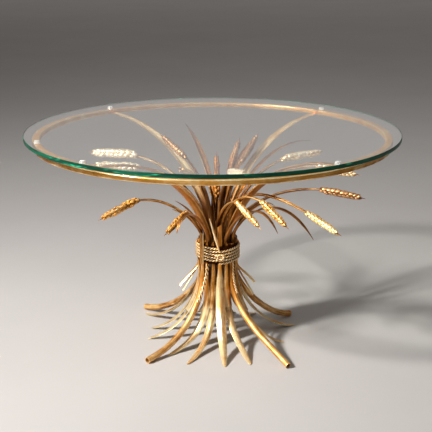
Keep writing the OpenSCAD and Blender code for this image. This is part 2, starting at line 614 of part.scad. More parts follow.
glass_top();
glass_pads();
top_ring();
support_back_right();
support_back_left();
support_front_left();
support_front_right();
leg_front_left();
leg_front_right();
leg_back_right();
leg_back_left();
stalk_front_1();
stalk_front_2();
stalk_front_3();
stalk_front_4();
stalk_right_1();
stalk_right_2();
stalk_back_1();
stalk_back_2();
stalk_back_3();
stalk_back_4();
stalk_left_1();
stalk_left_2();
stalk_left_3();
short_butts();
stalk_sheaths();
binding_twine();
twine_knot();
twine_tails();
tie_straws();
ear_left_low();
ear_front_left_low();
ear_front_low();
ear_front_right_low();
ear_right_low();
ear_right_mid();
ear_left_high();
ear_left_mid();
ear_front_left_high();
ear_front_right_high();
ear_back_left_high();
ear_back_high();
ear_back_right_high();
ear_back_right_upright();
ear_right_high();
ear_right_upper();
ear_back_low();
leaf_front_left();
leaf_front_right();
leaf_right_front();
leaf_right();
leaf_left();
leaf_left_back();
leaf_back_left_tall();
leaf_back_tall();
leaf_right_curved();
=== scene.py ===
# %% [markdown]
# # A gilt wheat sheaf table
#
# A sheaf of gilt metal wheat, tied at its waist with twisted wire, holds up a ring, and a loose round glass
# rests on the ring. The measured model of the table is loaded first and stays where it is. Each lesson
# below makes one kind of piece again with finer form and a real finish, and says why it is made that way.

# %% Load the measured model
import math

import bpy
import numpy as np
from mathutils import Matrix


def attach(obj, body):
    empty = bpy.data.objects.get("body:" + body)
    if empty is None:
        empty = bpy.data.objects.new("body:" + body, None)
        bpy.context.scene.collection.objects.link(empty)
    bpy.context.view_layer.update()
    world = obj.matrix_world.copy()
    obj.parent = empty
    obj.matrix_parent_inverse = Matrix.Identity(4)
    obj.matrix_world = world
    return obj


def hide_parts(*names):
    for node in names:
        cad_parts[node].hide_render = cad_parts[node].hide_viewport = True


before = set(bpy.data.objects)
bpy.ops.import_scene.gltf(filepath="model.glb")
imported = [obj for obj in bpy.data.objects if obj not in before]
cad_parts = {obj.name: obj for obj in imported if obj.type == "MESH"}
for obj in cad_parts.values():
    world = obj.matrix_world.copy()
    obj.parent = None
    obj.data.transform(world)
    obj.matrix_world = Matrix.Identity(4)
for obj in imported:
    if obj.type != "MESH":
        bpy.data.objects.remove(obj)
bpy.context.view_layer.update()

scene = bpy.context.scene

# %% [markdown]
# ## The camera
#
# The photograph was taken from two metres away and twice the table's height up, with a long lens. A camera
# can be found by trial and error. Here the ellipses of the glass and of the ring were fitted to their known
# sizes, which gives the place, the tilt and the focal length at once.

# %% Camera
CAMERA_PLACE = (0.0, -2.0927, 0.8738)
CAMERA_TILT = 16.213
CAMERA_TURN = 0.184
CAMERA_LENS = 88.47
CAMERA_SENSOR = 36.0

camera_data = bpy.data.cameras.new("camera")
camera_data.lens = CAMERA_LENS
camera_data.sensor_width = CAMERA_SENSOR
camera = bpy.data.objects.new("camera", camera_data)
camera.location = CAMERA_PLACE
camera.rotation_euler = (math.radians(90 - CAMERA_TILT), 0.0, math.radians(-CAMERA_TURN))
scene.collection.objects.link(camera)
scene.camera = camera
print("camera:", CAMERA_LENS, "mm lens, tilted down by", CAMERA_TILT, "degrees")

# %% [markdown]
# ## Shader sums written as Python
#
# A material is a network of nodes. Drawing one by hand is slow to read back, so a small class wraps a
# socket and lets +, - and * add the Math nodes. Every other node comes from one method that takes the
# node's type, its settings and the values or links of its sockets.

# %% Socket sums and the node method
class Wire:
    """One output socket. Sums on it add Math nodes, so a formula reads as a formula."""

    def __init__(self, finish, socket):
        self.finish = finish
        self.socket = socket

    def _sum(self, operation, first, second):
        return self.finish.node("ShaderNodeMath", {"operation": operation}, {0: first, 1: second})

    def __add__(self, other):
        return self._sum("ADD", self, other)

    def __sub__(self, other):
        return self._sum("SUBTRACT", self, other)

    def __rsub__(self, other):
        return self._sum("SUBTRACT", other, self)

    def __mul__(self, other):
        return self._sum("MULTIPLY", self, other)

    # The order makes no difference to a sum or a product
    __radd__ = __add__
    __rmul__ = __mul__

    def out(self, name):
        """Another output of the same node."""
        return Wire(self.finish, self.socket.node.outputs[name])


class Finish:
    """A material under construction."""

    def __init__(self, name):
        self.material = bpy.data.materials.new(name)
        self.material.use_nodes = True
        self.tree = self.material.node_tree
        self.tree.nodes.clear()

    def node(self, kind, settings=None, values=None):
        """Adds a node of that type, makes its settings, then fills or links its sockets. Gives its output."""
        made = self.tree.nodes.new(kind)
        for key, value in (settings or {}).items():
            setattr(made, key, value)
        for key, value in (values or {}).items():
            target = made.inputs[key]
            if isinstance(value, Wire):
                self.tree.links.new(value.socket, target)
            elif target.type == "RGBA":
                target.default_value = (*value, 1.0)
            else:
                target.default_value = value
        live = [socket for socket in made.outputs if socket.enabled]
        return Wire(self, live[0]) if live else None

    def clamp(self, value, low=0.0, high=1.0):
        """The value, held between low and high."""
        return self.node("ShaderNodeClamp", {}, {"Value": value, "Min": low, "Max": high})

    def above(self, value, start, steepness):
        """0 up to start, then a slope up to 1."""
        return self.clamp((value - start) * steepness)

    def below(self, value, end, steepness):
        """1 for low values, then a slope down to 0 at end."""
        return self.clamp((end - value) * steepness)

    def blend(self, share, first, second):
        """Colour between first and second: first at share 0, second at share 1."""
        return self.node("ShaderNodeMix", {"data_type": "RGBA"}, {"Factor": share, 6: first, 7: second})

    def noise(self, place, scale, detail, roughness=0.6, distortion=0.0):
        """Clouds between 0 and 1, smaller for a larger scale and finer for more detail."""
        return self.node("ShaderNodeTexNoise", {}, {"Vector": place, "Scale": scale, "Detail": detail,
                                                    "Roughness": roughness, "Distortion": distortion})

    def attribute(self, name):
        """A number that the mesh carries at each of its points."""
        return self.node("ShaderNodeAttribute", {"attribute_name": name}).out("Fac")

    def place(self):
        """The place on the object, in metres from its origin, which is the origin of the scene."""
        return self.node("ShaderNodeTexCoord").out("Object")

    def stretched(self, coordinates, scale, shift=(0.0, 0.0, 0.0)):
        """Coordinates times scale, plus shift: a larger scale squeezes a pattern in that direction."""
        return self.node("ShaderNodeMapping", {}, {"Vector": coordinates, "Location": shift, "Scale": scale})

    def length(self, vector):
        """How long a vector is: the root of the sum of its squares."""
        return self.node("ShaderNodeVectorMath", {"operation": "LENGTH"}, {0: vector}).out("Value")

    def coated(self, **values):
        """The material with a Principled shader: each name is a socket's, with _ for a space."""
        sockets = {name.replace("_", " "): value for name, value in values.items()}
        return self.finish(self.node("ShaderNodeBsdfPrincipled", {}, sockets))

    def finish(self, shader):
        """The finished material: the shader goes to the output."""
        self.node("ShaderNodeOutputMaterial", {}, {"Surface": shader})
        return self.material

# %% [markdown]
# ## Old gilding
#
# The sheaf is iron sheet and wire under thin gold. On the real table the gold is warm and uneven: it is
# rubbed pale along edges and on the backs of the grains, and stays brown where a rag never reaches. A
# painted texture could show that, but it would have to be painted anew for each piece. The mesh knows where
# its edges and hollows are, because its own formula made them, so each piece carries two numbers at every
# point: wear_and_highlight and hollow_and_shade. Besides wear and brown patina they carry painted light: a
# painted highlight on one side of each stalk and along the ridges of the back blades, and painted shade on
# the other side of each stalk, under the legs and the ring and along the edges of the back blades. The
# finish blends brown, gold and pale gold by these two, and by noise drawn out along the piece, as brush and
# rag run along a stalk. Three places are darker on every piece that passes them, as brown patina and
# painted shade: the crowd of stems above the tie, the inside of the tied bundle, and the strip under the
# twine.

# %% Where brown patina and painted shade darken the sheaf
MM = 0.001
SHEAF_X, WAIST_Z, FIT_GAP = 10.0, 195.0, 0.3
TIED_R = 0.0415


def patina_and_shade_places(f, space, height):
    """Shares of brown patina and painted shade in the crowd above the tie, in the tied bundle and in the
    strip
    under the twine: slopes over the distance to the sheaf's upright axis, times slopes over the height, all
    in metres."""
    from_core = f.length(f.stretched(space, (1.0, 1.0, 0.0), (-SHEAF_X * MM, 0.0, 0.0)))
    crowd = f.below(from_core, 0.085, 22.0) * f.above(height, 0.195, 25.0)
    bundle = f.below(from_core, TIED_R, 230.0) * f.above(height, 0.105, 20.0) * f.below(height, 0.216, 90.0)
    under_twine = (f.below(from_core, TIED_R + 0.0035, 900.0) * f.above(height, 0.174, 300.0)
                   * f.below(height, 0.2145, 300.0))
    return crowd, bundle, under_twine

# %% Gilt finish
# A darker gold for the crowd of stems above the tie: brown patina and painted shade
CROWD_PATINA_AND_SHADE_GOLD = (0.47, 0.165, 0.020)


def gilding(name, brown, gold, pale, rough, streaks, grain=1.0, crowded=True, bare=0.62):
    """Metal whose colour goes from brown, for stains and painted shade, over gold, to pale gold, for rubbing
    and painted highlights. rubbed_and_lit is a sum of wear_and_highlight, patches and streaks.
    stained_and_shaded is a sum of hollow_and_shade, the reverse of patches and streaks, and the places of
    patina and painted shade. bare is how metallic the clean gold looks: less where a pale top coat is left on
    it."""
    f = Finish(name)
    along = f.node("ShaderNodeUVMap", {"uv_map": "strip"})
    space = f.place()
    # Streaks and scratches are drawn out along the piece, and patches and specks are as wide as they are long
    streak = f.noise(f.stretched(along, (420.0, 26.0, 1.0)), 1.0, 4.0)
    scratches = f.noise(f.stretched(along, (2600.0, 90.0, 1.0)), 1.0, 2.0, 0.5)
    patches = f.noise(space, 30.0, 3.0, 0.6, 0.4)
    specks = f.noise(space, 420.0, 2.0)
    wear_and_highlight = f.attribute("wear_and_highlight")
    hollow_and_shade = f.attribute("hollow_and_shade")
    height = f.node("ShaderNodeSeparateXYZ", {}, {"Vector": space}).out("Z")
    # The gold is paler low down, towards the feet
    low_down = f.below(height, 0.175, 9.0)
    crowd, bundle, under_twine = patina_and_shade_places(f, space, height) if crowded else (0.0, 0.0, 0.0)
    rubbed_and_lit = f.clamp((wear_and_highlight * 0.7 + (patches - 0.5) * 1.5 + (streak - 0.5) * (1.1 * streaks)
                      + low_down * 0.45 - 0.17) * 1.6)
    stained_and_shaded = f.clamp(hollow_and_shade * 0.95 + (0.44 - patches) * 1.7 + (0.46 - streak) * (crowd * 1.4 + 1.1 * streaks)
                      - low_down * 0.25 - wear_and_highlight * 0.3 + crowd * 0.42 + bundle * 1.1 + under_twine * 1.2)
    colour = f.blend(rubbed_and_lit, gold, pale)
    # Brown patina and painted shade: pieces in the crowd above the tie turn a darker gold
    if crowded:
        colour = f.blend(crowd * 0.85, colour, CROWD_PATINA_AND_SHADE_GOLD)
    colour = f.blend(stained_and_shaded, colour, brown)
    colour = f.blend(f.above(specks, 0.66, 7.0) * 0.6, colour, brown)
    roughness = f.clamp(rough + (patches - 0.5) * 0.2 + stained_and_shaded * 0.22 - rubbed_and_lit * 0.1
                        + (scratches - 0.5) * 0.12, 0.14, 0.8)
    relief = streak * (0.5 * streaks) + specks * (0.22 * grain) + scratches * 0.14 + patches * 0.5
    bump = f.node("ShaderNodeBump", {}, {"Strength": 0.4, "Distance": 0.0006, "Height": relief})
    print("finish", name)
    return f.coated(Base_Color=colour, Metallic=f.clamp(bare + stained_and_shaded * 0.3, 0.25, 1.0), Roughness=roughness,
                    Specular_IOR_Level=0.3, Normal=bump)

# %% [markdown]
# ## One recipe, ten finishes
#
# Pieces of one sheaf were gilt together, yet they aged apart. Legs are browner than stalks, leaves are the
# darkest, and the ears under the glass are paler. The paler finish of the blades at the back is a painted
# highlight, and the darker finish of the ears at the back and of one ear on the right is painted shade. One
# material with many switches would be hard to read, so the recipe is called once for each finish, with its
# own three colours.

# %% Finishes of the sheaf
BROWN = (0.050, 0.011, 0.001)
PALE_GOLD = (0.98, 0.78, 0.44)
CREAM_GOLD = (1.0, 0.80, 0.50)

# Brown, gold and pale gold, then roughness, streaks and, where it isn't 1, grain
gilt_stalk = gilding("gilt_stalk", BROWN, (0.80, 0.33, 0.044), PALE_GOLD, 0.40, 1.6)
gilt_leg = gilding("gilt_leg", BROWN, (0.58, 0.22, 0.028), (0.92, 0.63, 0.28), 0.50, 1.6)
gilt_support = gilding("gilt_support", BROWN, (0.50, 0.195, 0.03), (0.88, 0.52, 0.18), 0.38, 1.3)
# A paler finish for the blades at the back: a painted highlight
highlit_support = gilding("highlit_support", (0.14, 0.04, 0.007), (0.80, 0.43, 0.13), CREAM_GOLD, 0.36, 1.2,
                       bare=0.35)
gilt_leaf = gilding("gilt_leaf", (0.050, 0.014, 0.002), (0.36, 0.135, 0.025), (0.82, 0.55, 0.26), 0.36, 1.3)
gilt_ring = gilding("gilt_ring", (0.14, 0.045, 0.006), (0.68, 0.32, 0.06), PALE_GOLD, 0.34, 0.8)
gilt_twine = gilding("gilt_twine", (0.08, 0.018, 0.001), (0.92, 0.47, 0.13), CREAM_GOLD, 0.44, 0.6, 1.3,
                     crowded=False)

gilt_ear = gilding("gilt_ear", (0.10, 0.026, 0.003), (0.62, 0.29, 0.058), (0.96, 0.74, 0.38), 0.54, 0.5, 1.2)
# A darker copy of gilt_ear for the ears at the back and one on the right: painted shade
shaded_ear = gilding("shaded_ear", (0.06, 0.020, 0.005), (0.34, 0.155, 0.055), (0.66, 0.42, 0.22), 0.50, 0.5, 1.3)
pale_ear = gilding("pale_ear", (0.12, 0.040, 0.008), (0.86, 0.55, 0.25), (1.0, 0.90, 0.70), 0.46, 0.4, 1.3,
                   bare=0.45)

# %% [markdown]
# ## Skins: from formulas to meshes
#
# Every piece of the sheaf is a closed skin: a grid of points with one row for each ring along the piece and
# one column for each side of its outline. Modelling by hand would take days for fifty bent pieces, and a
# formula bends them all. It gives whole arrays of points in millimetres, and one function turns the arrays
# into a mesh in metres, closes both ends, turns the faces outwards and stores the strip coordinates (round
# the piece, along the piece) and the two numbers that the gilding reads.

# %% Faces of one skin
def unit(vectors):
    """Each vector divided by its own length."""
    return vectors / np.linalg.norm(vectors, axis=-1, keepdims=True)


def running_sum(steps):
    """0, then the first step, then the sum of the first two, and so on."""
    return np.append(0.0, np.cumsum(steps))


def lengths_along(path):
    """The length from the path's start to each of its points: a running sum of the gaps between them."""
    return running_sum(np.linalg.norm(np.diff(path, axis=0), axis=1))


def skin(points, wear_and_highlight=0.0, hollow_and_shade=0.0, ring_closed=False):
    """One closed skin: points [rings, sides, 3]. wear_and_highlight and hollow_and_shade are numbers or
    arrays that fit that grid.
    """
    shape = points.shape[:2]
    return points, np.broadcast_to(wear_and_highlight, shape), np.broadcast_to(hollow_and_shade, shape), ring_closed


def skin_faces(points, ring_closed):
    """Quads between neighbouring rings as corner numbers, where the last side joins the first one, an end
    face for each open end, and metres round and along the piece for each corner. The sign of the volume,
    summed over a fan of two triangles for each quad, says whether the faces have to be turned to point
    outwards."""
    rings, sides = points.shape[:2]
    i, j = np.meshgrid(np.arange(rings if ring_closed else rings - 1), np.arange(sides), indexing="ij")
    ring = np.stack([i, i + 1, i + 1, i], -1).reshape(-1, 4)
    side = np.stack([j, j, j + 1, j + 1], -1).reshape(-1, 4)
    quads = ring % rings * sides + side % sides
    around = running_sum(np.linalg.norm(np.diff(points, axis=1, append=points[:, :1]), axis=2).mean(0))
    middle = points.mean(1)
    along = lengths_along(np.append(middle, middle[-1:], axis=0))
    strip = np.stack([around[side], along[ring]], -1) * MM
    total = rings * sides
    ends = [] if ring_closed else [list(range(sides)), list(range(total - 1, total - sides - 1, -1))]
    a, b, c, d = np.moveaxis(points.reshape(-1, 3)[quads] - points.mean((0, 1)), 1, 0)
    if np.sum(a * (np.cross(b, c) + np.cross(c, d))) < 0:
        return quads[:, ::-1], strip[:, ::-1], [end[::-1] for end in ends]
    return quads, strip, ends

# %% Skins into one object
def piece(name, skins, finish, stands_for, body="base", crease=42):
    """One object out of its skins, in metres, on its body, in place of the plain solids of the same name."""
    verts, quads, ends, strips = [], [], [], []
    start = 0
    for points, _, _, ring_closed in skins:
        faces, strip, caps = skin_faces(points, ring_closed)
        verts.append(points.reshape(-1, 3) * MM)
        quads.append(faces + start)
        ends += [[corner + start for corner in cap] for cap in caps]
        strips.append(strip.reshape(-1, 2))
        start += len(verts[-1])
    mesh = bpy.data.meshes.new(name)
    mesh.from_pydata(np.concatenate(verts), [], np.concatenate(quads).tolist() + ends)
    flat = np.concatenate(strips)
    every = np.zeros((len(mesh.loops), 2))
    every[:len(flat)] = flat
    mesh.uv_layers.new(name="strip").data.foreach_set("uv", every.ravel())
    for column, key in ((1, "wear_and_highlight"), (2, "hollow_and_shade")):
        values = np.concatenate([one[column].ravel() for one in skins])
        mesh.attributes.new(key, "FLOAT", "POINT").data.foreach_set("value", values)
    mesh.shade_smooth()
    mesh.set_sharp_from_angle(angle=math.radians(crease))
    mesh.materials.append(finish)
    made = bpy.data.objects.new(name, mesh)
    scene.collection.objects.link(made)
    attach(made, body)
    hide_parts(*stands_for)
    print(name, len(mesh.polygons), "faces")
    return made

# %% [markdown]
# ## Lines that grow from the waist
#
# Each stalk, leg, ear and leaf runs in an upright plane of its own: it stands at one place in the tied
# waist and leans towards another. A curve object could follow it, but its handles say nothing about the
# piece. In its plane the line is a cubic curve through a few plain numbers: how far out and how high. Rings
# at equal steps of the length keep an outline from bunching up. Along a piece numbers are kept in columns
# and round it in rows, so that numpy lays one over the other by itself.

# %% Curves and their frames
TIE_TOP, TIE_LOW = WAIST_Z + 30, WAIST_Z - 27
CURVE_STEPS, LEAD_STEPS = 600, 60
# A heading is taken between the places this far behind and ahead
NEAR = 0.6


def from_axis(reach, azimuth):
    """The place [x, y] at a reach from the sheaf's axis: reach times cosine and sine of the azimuth."""
    turn = math.radians(azimuth)
    return np.array([SHEAF_X + reach * math.cos(turn), reach * math.sin(turn)])


def cubic(points, t):
    """(1-t)^3 p0 + 3t(1-t)^2 p1 + 3t^2(1-t) p2 + t^3 p3, for an array of t."""
    p, t = np.asarray(points, float), t[:, None]
    return (1 - t) ** 3 * p[0] + 3 * t * (1 - t) ** 2 * p[1] + 3 * t * t * (1 - t) * p[2] + t ** 3 * p[3]


class Line:
    """A straight lead from one point, then a cubic curve, as close points [reach, height] in the upright
    plane that leans from stand towards target. Its last stretch can be straight, and bend_end is where that
    starts."""

    def __init__(self, stand, target, points, lead, straight_end=0.0):
        path = cubic(points, np.linspace(0, 1, CURVE_STEPS))
        run = lengths_along(path)
        path = np.concatenate([path[:-1][run[-1] - run[:-1] > straight_end], path[-1:]])
        t = np.linspace(0, 1, LEAD_STEPS)[:-1, None]
        self.path = np.concatenate([np.array(lead) * (1 - t) + path[0] * t, path])
        self.run = lengths_along(self.path)
        self.length = self.run[-1]
        self.bend_end = self.run[-2]
        self.lead = math.dist(lead, path[0])
        self.stand = stand
        self.lean = unit(target - stand)
        # 1 on a line that rises and -1 on one that falls
        self.way = 1 if self.path[-1, 1] > self.path[0, 1] else -1

    def place(self, s):
        """Reach and height at lengths s."""
        return np.stack([np.interp(s, self.run, column) for column in self.path.T], -1)

    def share(self, s, end=None):
        """How far lengths s are from the lead, at 0, to the end, at 1."""
        return np.clip((s - self.lead) / ((end or self.length) - self.lead), 0, 1)

    def carry(self, s, across, out):
        """Outlines on the line at lengths s: the place, plus out times the direction away from the sheaf's
        axis that is square to the line, plus across times the direction square to its plane. Nothing goes
        below the floor."""
        place = self.place(s)
        heading = self.way * unit(self.place(s + NEAR) - self.place(s - NEAR))
        flat = place[..., 0] + heading[..., 1] * out
        height = place[..., 1] - heading[..., 0] * out
        side = self.way * across
        return np.stack([self.stand[0] + self.lean[0] * flat + self.lean[1] * side,
                         self.stand[1] + self.lean[1] * flat - self.lean[0] * side,
                         np.maximum(height, 0.0)], -1)

# %% Uneven by hand
def ripple(share, seed, waves=(1.3, 2.9, 5.3)):
    """A smooth random line between about -1 and 1: a sum of three sine waves with seeded starts."""
    starts = np.random.default_rng(seed).uniform(0, 2 * np.pi, len(waves))
    sines = (np.sin(2 * np.pi * wave * share + start) for wave, start in zip(waves, starts))
    return sum(sine / k for k, sine in enumerate(sines, 1)) / 1.6


def turned(across, out, degrees):
    """The outline turned about the line, by an angle for each ring."""
    a = np.radians(degrees)
    return across * np.cos(a) + out * np.sin(a), out * np.cos(a) - across * np.sin(a)

# %% [markdown]
# ## Outlines
#
# A stalk is a strip of sheet that was rolled into a shallow gutter. A flat strip with a Solidify modifier
# would have no rolled edges, so the outline is worked out. Its depth grows with a power of the way out from
# the middle: a power near 2 gives a round vault, and one near 1 gives a ridge. The inner face lies one
# thickness further in. The angle that runs round the outline also tells where the edges are (cosine near 1)
# and where the inner face is (sine below 0), which gives wear and hollow for nothing.

# %% Outline of a rolled strip
SIDES = 32
ROUND = -2 * np.pi * np.arange(SIDES) / SIDES
COS, SIN = np.cos(ROUND), np.sin(ROUND)
EDGEWARD = np.abs(COS)
STRIP_WEAR = np.clip((EDGEWARD - 0.8) * 5, 0, 1)
STRIP_HOLLOW = np.where(SIN < -0.2, 0.9, 0.0)


def rolled(half_w, thick, roll, back=0.0, ridge=1.5):
    """across = half_w cos a; out = thick/2 (sin a, flattened) - thick/2 - roll |cos a|^ridge - back."""
    blunt = np.sign(SIN) * np.abs(SIN) ** 0.45
    return half_w * COS, thick / 2 * blunt - thick / 2 - roll * EDGEWARD ** ridge - back

# %% [markdown]
# ## The ring of feet
#
# Tube legs, floor stalks and short butts stand side by side in one ring at the waist. Placing them one by
# one would leave gaps that show. Each is as wide as the table says, so its place in the ring follows from a
# running sum of the widths, and the ring's own radius from their total.

# %% Table of the feet
LEG_D, LEG_WALL, STALK_T = 13.0, 1.5, 2.0
FIRST_SLOT = 216
RING_SLACK = 1.008
# Azimuth and reach of the foot, height of its top above the waist, width in the ring, and its bend: where the
# knee is, how far out and how high the heel is, as shares
FEET = {
    "leg_front_left": (225, 199, 22, LEG_D, (0.4, 0.25, 0.1)),
    "stalk_front_1": (225.5, 144, 24, 12.0, (0.66, 0.12, 0.14)),
    "stalk_front_2": (247.6, 159, 28, 12.0, (0.7, 0.12, 0.1)),
    "stalk_front_3": (275, 160, 62, 12.0, (0.45, 0.3, 0.2)),
    "stalk_front_4": (293.5, 163, 25, 12.0, (0.62, 0.12, 0.3)),
    "leg_front_right": (310, 216, 21, LEG_D, (0.6, 0.55, 0.25)),
    "stalk_right_1": (346.3, 143, 26, 10.4, (0.38, 0.4, 0.05)),
    "butts_right": (350, 80, 22, 10.4, ()),
    "stalk_right_2": (20.2, 178, 24, 10.4, (0.44, 0.4, 0.1)),
    "leg_back_right": (36, 199, 22, LEG_D, (0.3, 0.55, 0.1)),
    "stalk_back_1": (58, 160, 26, 10.4, (0.44, 0.4, 0.1)),
    "stalk_back_2": (76, 150, 23, 10.4, (0.44, 0.4, 0.1)),
    "stalk_back_3": (94, 165, 27, 10.4, (0.44, 0.4, 0.1)),
    "stalk_back_4": (112, 150, 24, 10.4, (0.44, 0.4, 0.1)),
    "leg_back_left": (135.6, 226, 21, LEG_D, (0.2, 0.35, 0.15)),
    "stalk_left_1": (141, 204, 25, 10.4, (0.3, 0.4, 0.1)),
    "stalk_left_2": (163, 149, 23, 10.4, (0.5, 0.4, 0.15)),
    "butts_left": (190, 80, 22, 10.4, ()),
    "stalk_left_3": (185.7, 147, 26, 10.4, (0.5, 0.4, 0.15)),
}
rooms = np.array([row[3] + FIT_GAP for row in FEET.values()])
SLOT = dict(zip(FEET, FIRST_SLOT + 360 * running_sum((rooms[:-1] + rooms[1:]) / 2) / rooms.sum()))
LEG_RING = RING_SLACK * rooms.sum() / (2 * math.pi)
BUNDLE = LEG_RING + LEG_D / 2
print("radius of the bundle:", round(BUNDLE, 2), "mm")


def foot_line(name, stand, end_z):
    """From its top straight down to the waist's lower edge, then a cubic past knee and heel to the foot."""
    azimuth, reach, top, _, (knee, heel_out, heel_up) = FEET[name]
    target = from_axis(reach, azimuth)
    run = math.dist(stand, target)
    return Line(stand, target, [(0, TIE_LOW), (0, TIE_LOW * (1 - knee)), (heel_out * run, TIE_LOW * heel_up),
                                (run, end_z)], (0, WAIST_Z + top))


def ring_turn(name, line):
    """How far a place in the ring is turned from the direction in which the piece leaves it."""
    turn = SLOT[name] - math.degrees(math.atan2(line.lean[1], line.lean[0]))
    return turn - 360 * round(turn / 360)

# %% [markdown]
# ## Floor stalks and their sheaths
#
# A stalk is widest a little above its middle and ends in a dull point on the floor. Four of them start
# inside a second, square-cut strip, as one straw slides into another. The tops above the twine were cut at
# a slant. Hand tools leave the edges uneven, so seeded ripples vary the width, the roll and the turn of
# each stalk by a few hundredths. Copies of one good stalk would show at once, and a formula with a seed
# makes thirteen different ones.

# %% Shape of a floor stalk
STALK_RINGS = 84
TIP_Z = 1.5
SHEATH_T = 1.9
# A stalk in a sheath, or a butt in another one, lies this much further in and is this much narrower on
# each side
NESTED_BACK, NESTED_NARROW = 2.3, 1.2
# How far down its sheath reaches
NESTED = {"stalk_front_2": 3 / 8, "stalk_front_4": 3 / 8, "stalk_right_1": 4 / 8, "stalk_left_3": 4 / 8}
# The broad stalk in the middle of the front
WIDE_TOPS = {"stalk_front_3": 0.35}
WIDE_MIDDLES = {"stalk_front_3": 0.22}


def stalk_skin(name, seed, share=1.0, sheath=False):
    """A rolled strip. Width, roll and thickness are ramps over f, which is 0 at the tie and 1 on the floor,
    times one plus a ripple. A nested stalk is narrower and lies further in, down past the mouth of its
    sheath."""
    width = FEET[name][3]
    nested = name in NESTED and not sheath
    line = foot_line(name, from_axis(BUNDLE, SLOT[name]), TIP_Z)
    last = line.lead + (line.length - line.lead) * share
    s = np.linspace(4.0 if sheath else 0.0, last, STALK_RINGS)[:, None]
    f = line.share(s)
    half_w = np.interp(f, [0, 0.44, 0.88, 0.96, 1], [width - 1.2, 17.5, 13, 9, 4.6]) / 2
    half_w *= 1 + 0.035 * ripple(f, seed) * np.clip(f * 6, 0, 1)
    half_w *= 1 + WIDE_MIDDLES.get(name, 0.13) * np.interp(f, [0.02, 0.15, 0.6, 0.9], [0, 1, 1, 0])
    roll = np.interp(f, [0, 0.3, 0.7, 1], [3.5, 4.8, 4.4, 0.4]) * (1 + 0.08 * ripple(f, seed + 50))
    roll *= 0.7 if nested else 1.0
    thick = SHEATH_T if sheath else np.interp(f, [0, 0.8, 1], [1.7, 1.5, 1.2])
    half_w += 0.9 if sheath else 0.0
    within = np.interp(f, [0.6, 1], [1, 0]) if nested else 0.0
    ridge = np.interp(f, [0.1, 0.45], [1.9, 1.15])
    across, out = rolled(half_w - NESTED_NARROW * within, thick, roll, NESTED_BACK * within, ridge)
    untwist = ring_turn(name, line) * np.interp(f, [0, 0.7], [1, 0])
    across, out = turned(across, out, untwist + 2.2 * ripple(f, seed + 90) * np.clip(f * 3, 0, 1))
    across = across * (1 + WIDE_TOPS.get(name, 0.0) * np.interp(s, [0, 40, 52], [1, 1, 0]))
    points = line.carry(s, across, out)
    # The slanted cut
    points[..., 2] += 0.75 * across * np.clip(1 - s / 16, 0, 1)
    return skin(points, *stalk_patina_and_painted_light(name, seed, f, sheath, nested))

# %% [markdown]
# ## Patina and painted light of the stalks
#
# No two stalks aged alike. Their edges are brown where they stand close together, as patina and painted
# shade, and rubbed pale below, and a dark line of dirt and painted contact shadow marks where a stalk leaves
# its sheath. One side of each stalk gets a painted highlight and the other side painted shade. Random
# numbers for this would look like noise, so a small table says what the photograph shows.

# %% Patina and painted light of a floor stalk
# How brown each stalk is at the tie, and how pale it is rubbed at its foot: partly each stalk's own tone,
# and partly painted shade, since the stalks on the right, which face away from the key lamp, are browner
TONES = {"stalk_front_1": (0.0, 0.45), "stalk_front_2": (0.75, 0.2), "stalk_front_3": (-0.4, 0.1),
         "stalk_front_4": (0.3, 0.7), "stalk_right_1": (0.4, 0.0), "stalk_right_2": (0.5, 0.1),
         "stalk_left_3": (-0.3, 0.5), "stalk_left_2": (0.0, 0.4)}


def stalk_patina_and_painted_light(name, seed, f, sheath, nested):
    """wear_and_highlight = edges that stand free + a clean top + rubbed foot + a painted highlight on one
    side, and hollow_and_shade = inner face + close edges (patina and painted shade) + brown + painted shade
    on the other side."""
    brown, pale = TONES.get(name, (0.2, 0.2))
    free = np.interp(f, [0.1, 0.4], [0, 1])
    # Brown edges where the stalks stand close together near the tie: patina and painted shade
    close_edges_stain_and_shade = 1.3 * (1 - free) * np.clip((EDGEWARD - 0.45) * 2.2, 0, 1)
    brown = brown * np.interp(f, [0.2, 0.6], [1, 1 if sheath else 0])
    if nested:
        # A dark band just below the sheath's mouth: dirt and painted contact shadow
        mouth = NESTED[name] + np.array([-0.01, 0.005, 0.03, 0.06])
        brown = brown + np.interp(f, mouth, [0, 1.6, 0.9, 0])
    clean = np.clip(-brown, 0, 1) * np.interp(f, [0, 0.03], [0, 1])
    # Painted light: the side with negative cosine gets a painted highlight, the side with positive cosine
    # painted shade
    rubbed_and_lit = pale * np.interp(f, [0.3, 0.7], [0, 1]) + 0.4 * np.clip(-COS * 1.5 - 0.2, 0, 1)
    painted_shade_side = np.clip(COS * 2.0 - 0.3, 0, 1) * (1 + 0.5 * ripple(f, seed + 130))
    return STRIP_WEAR * free + clean + rubbed_and_lit, np.clip(STRIP_HOLLOW + close_edges_stain_and_shade + brown + 0.8 * painted_shade_side, 0, 1)


for seed, name in enumerate(name for name in FEET if name.startswith("stalk")):
    piece(name.replace("stalk", "rolled_stalk"), [stalk_skin(name, seed)], gilt_stalk, [name])
sheaths = [stalk_skin(name, 30 + k, share, True) for k, (name, share) in enumerate(NESTED.items())]
piece("square_cut_sheaths", sheaths, gilt_stalk, ["stalk_sheaths"])

# %% [markdown]
# ## Short butts
#
# At the left and the right a pair of cut stems leaves the bundle and ends in the air, one lying in the
# other. They are the stalks' gutter again without its taper, so the same outline and the same kind of line
# make them.

# %% Short butts
BUTT_W, BUTT_THICK, BUTT_ROLL = 9.0, 1.5, 2.625
# How far a butt runs straight on under the tie, and how much its middle is lifted
BUTT_STRAIGHT, BUTT_LIFT = 12, 2
# Place in the ring, reach of the end, its drop below the tie, and whether it is the inner one of the pair
BUTTS = (("butts_right", 80, 40, False), ("butts_right", 77, 68, True),
         ("butts_left", 81, 47, False), ("butts_left", 75, 59, True))


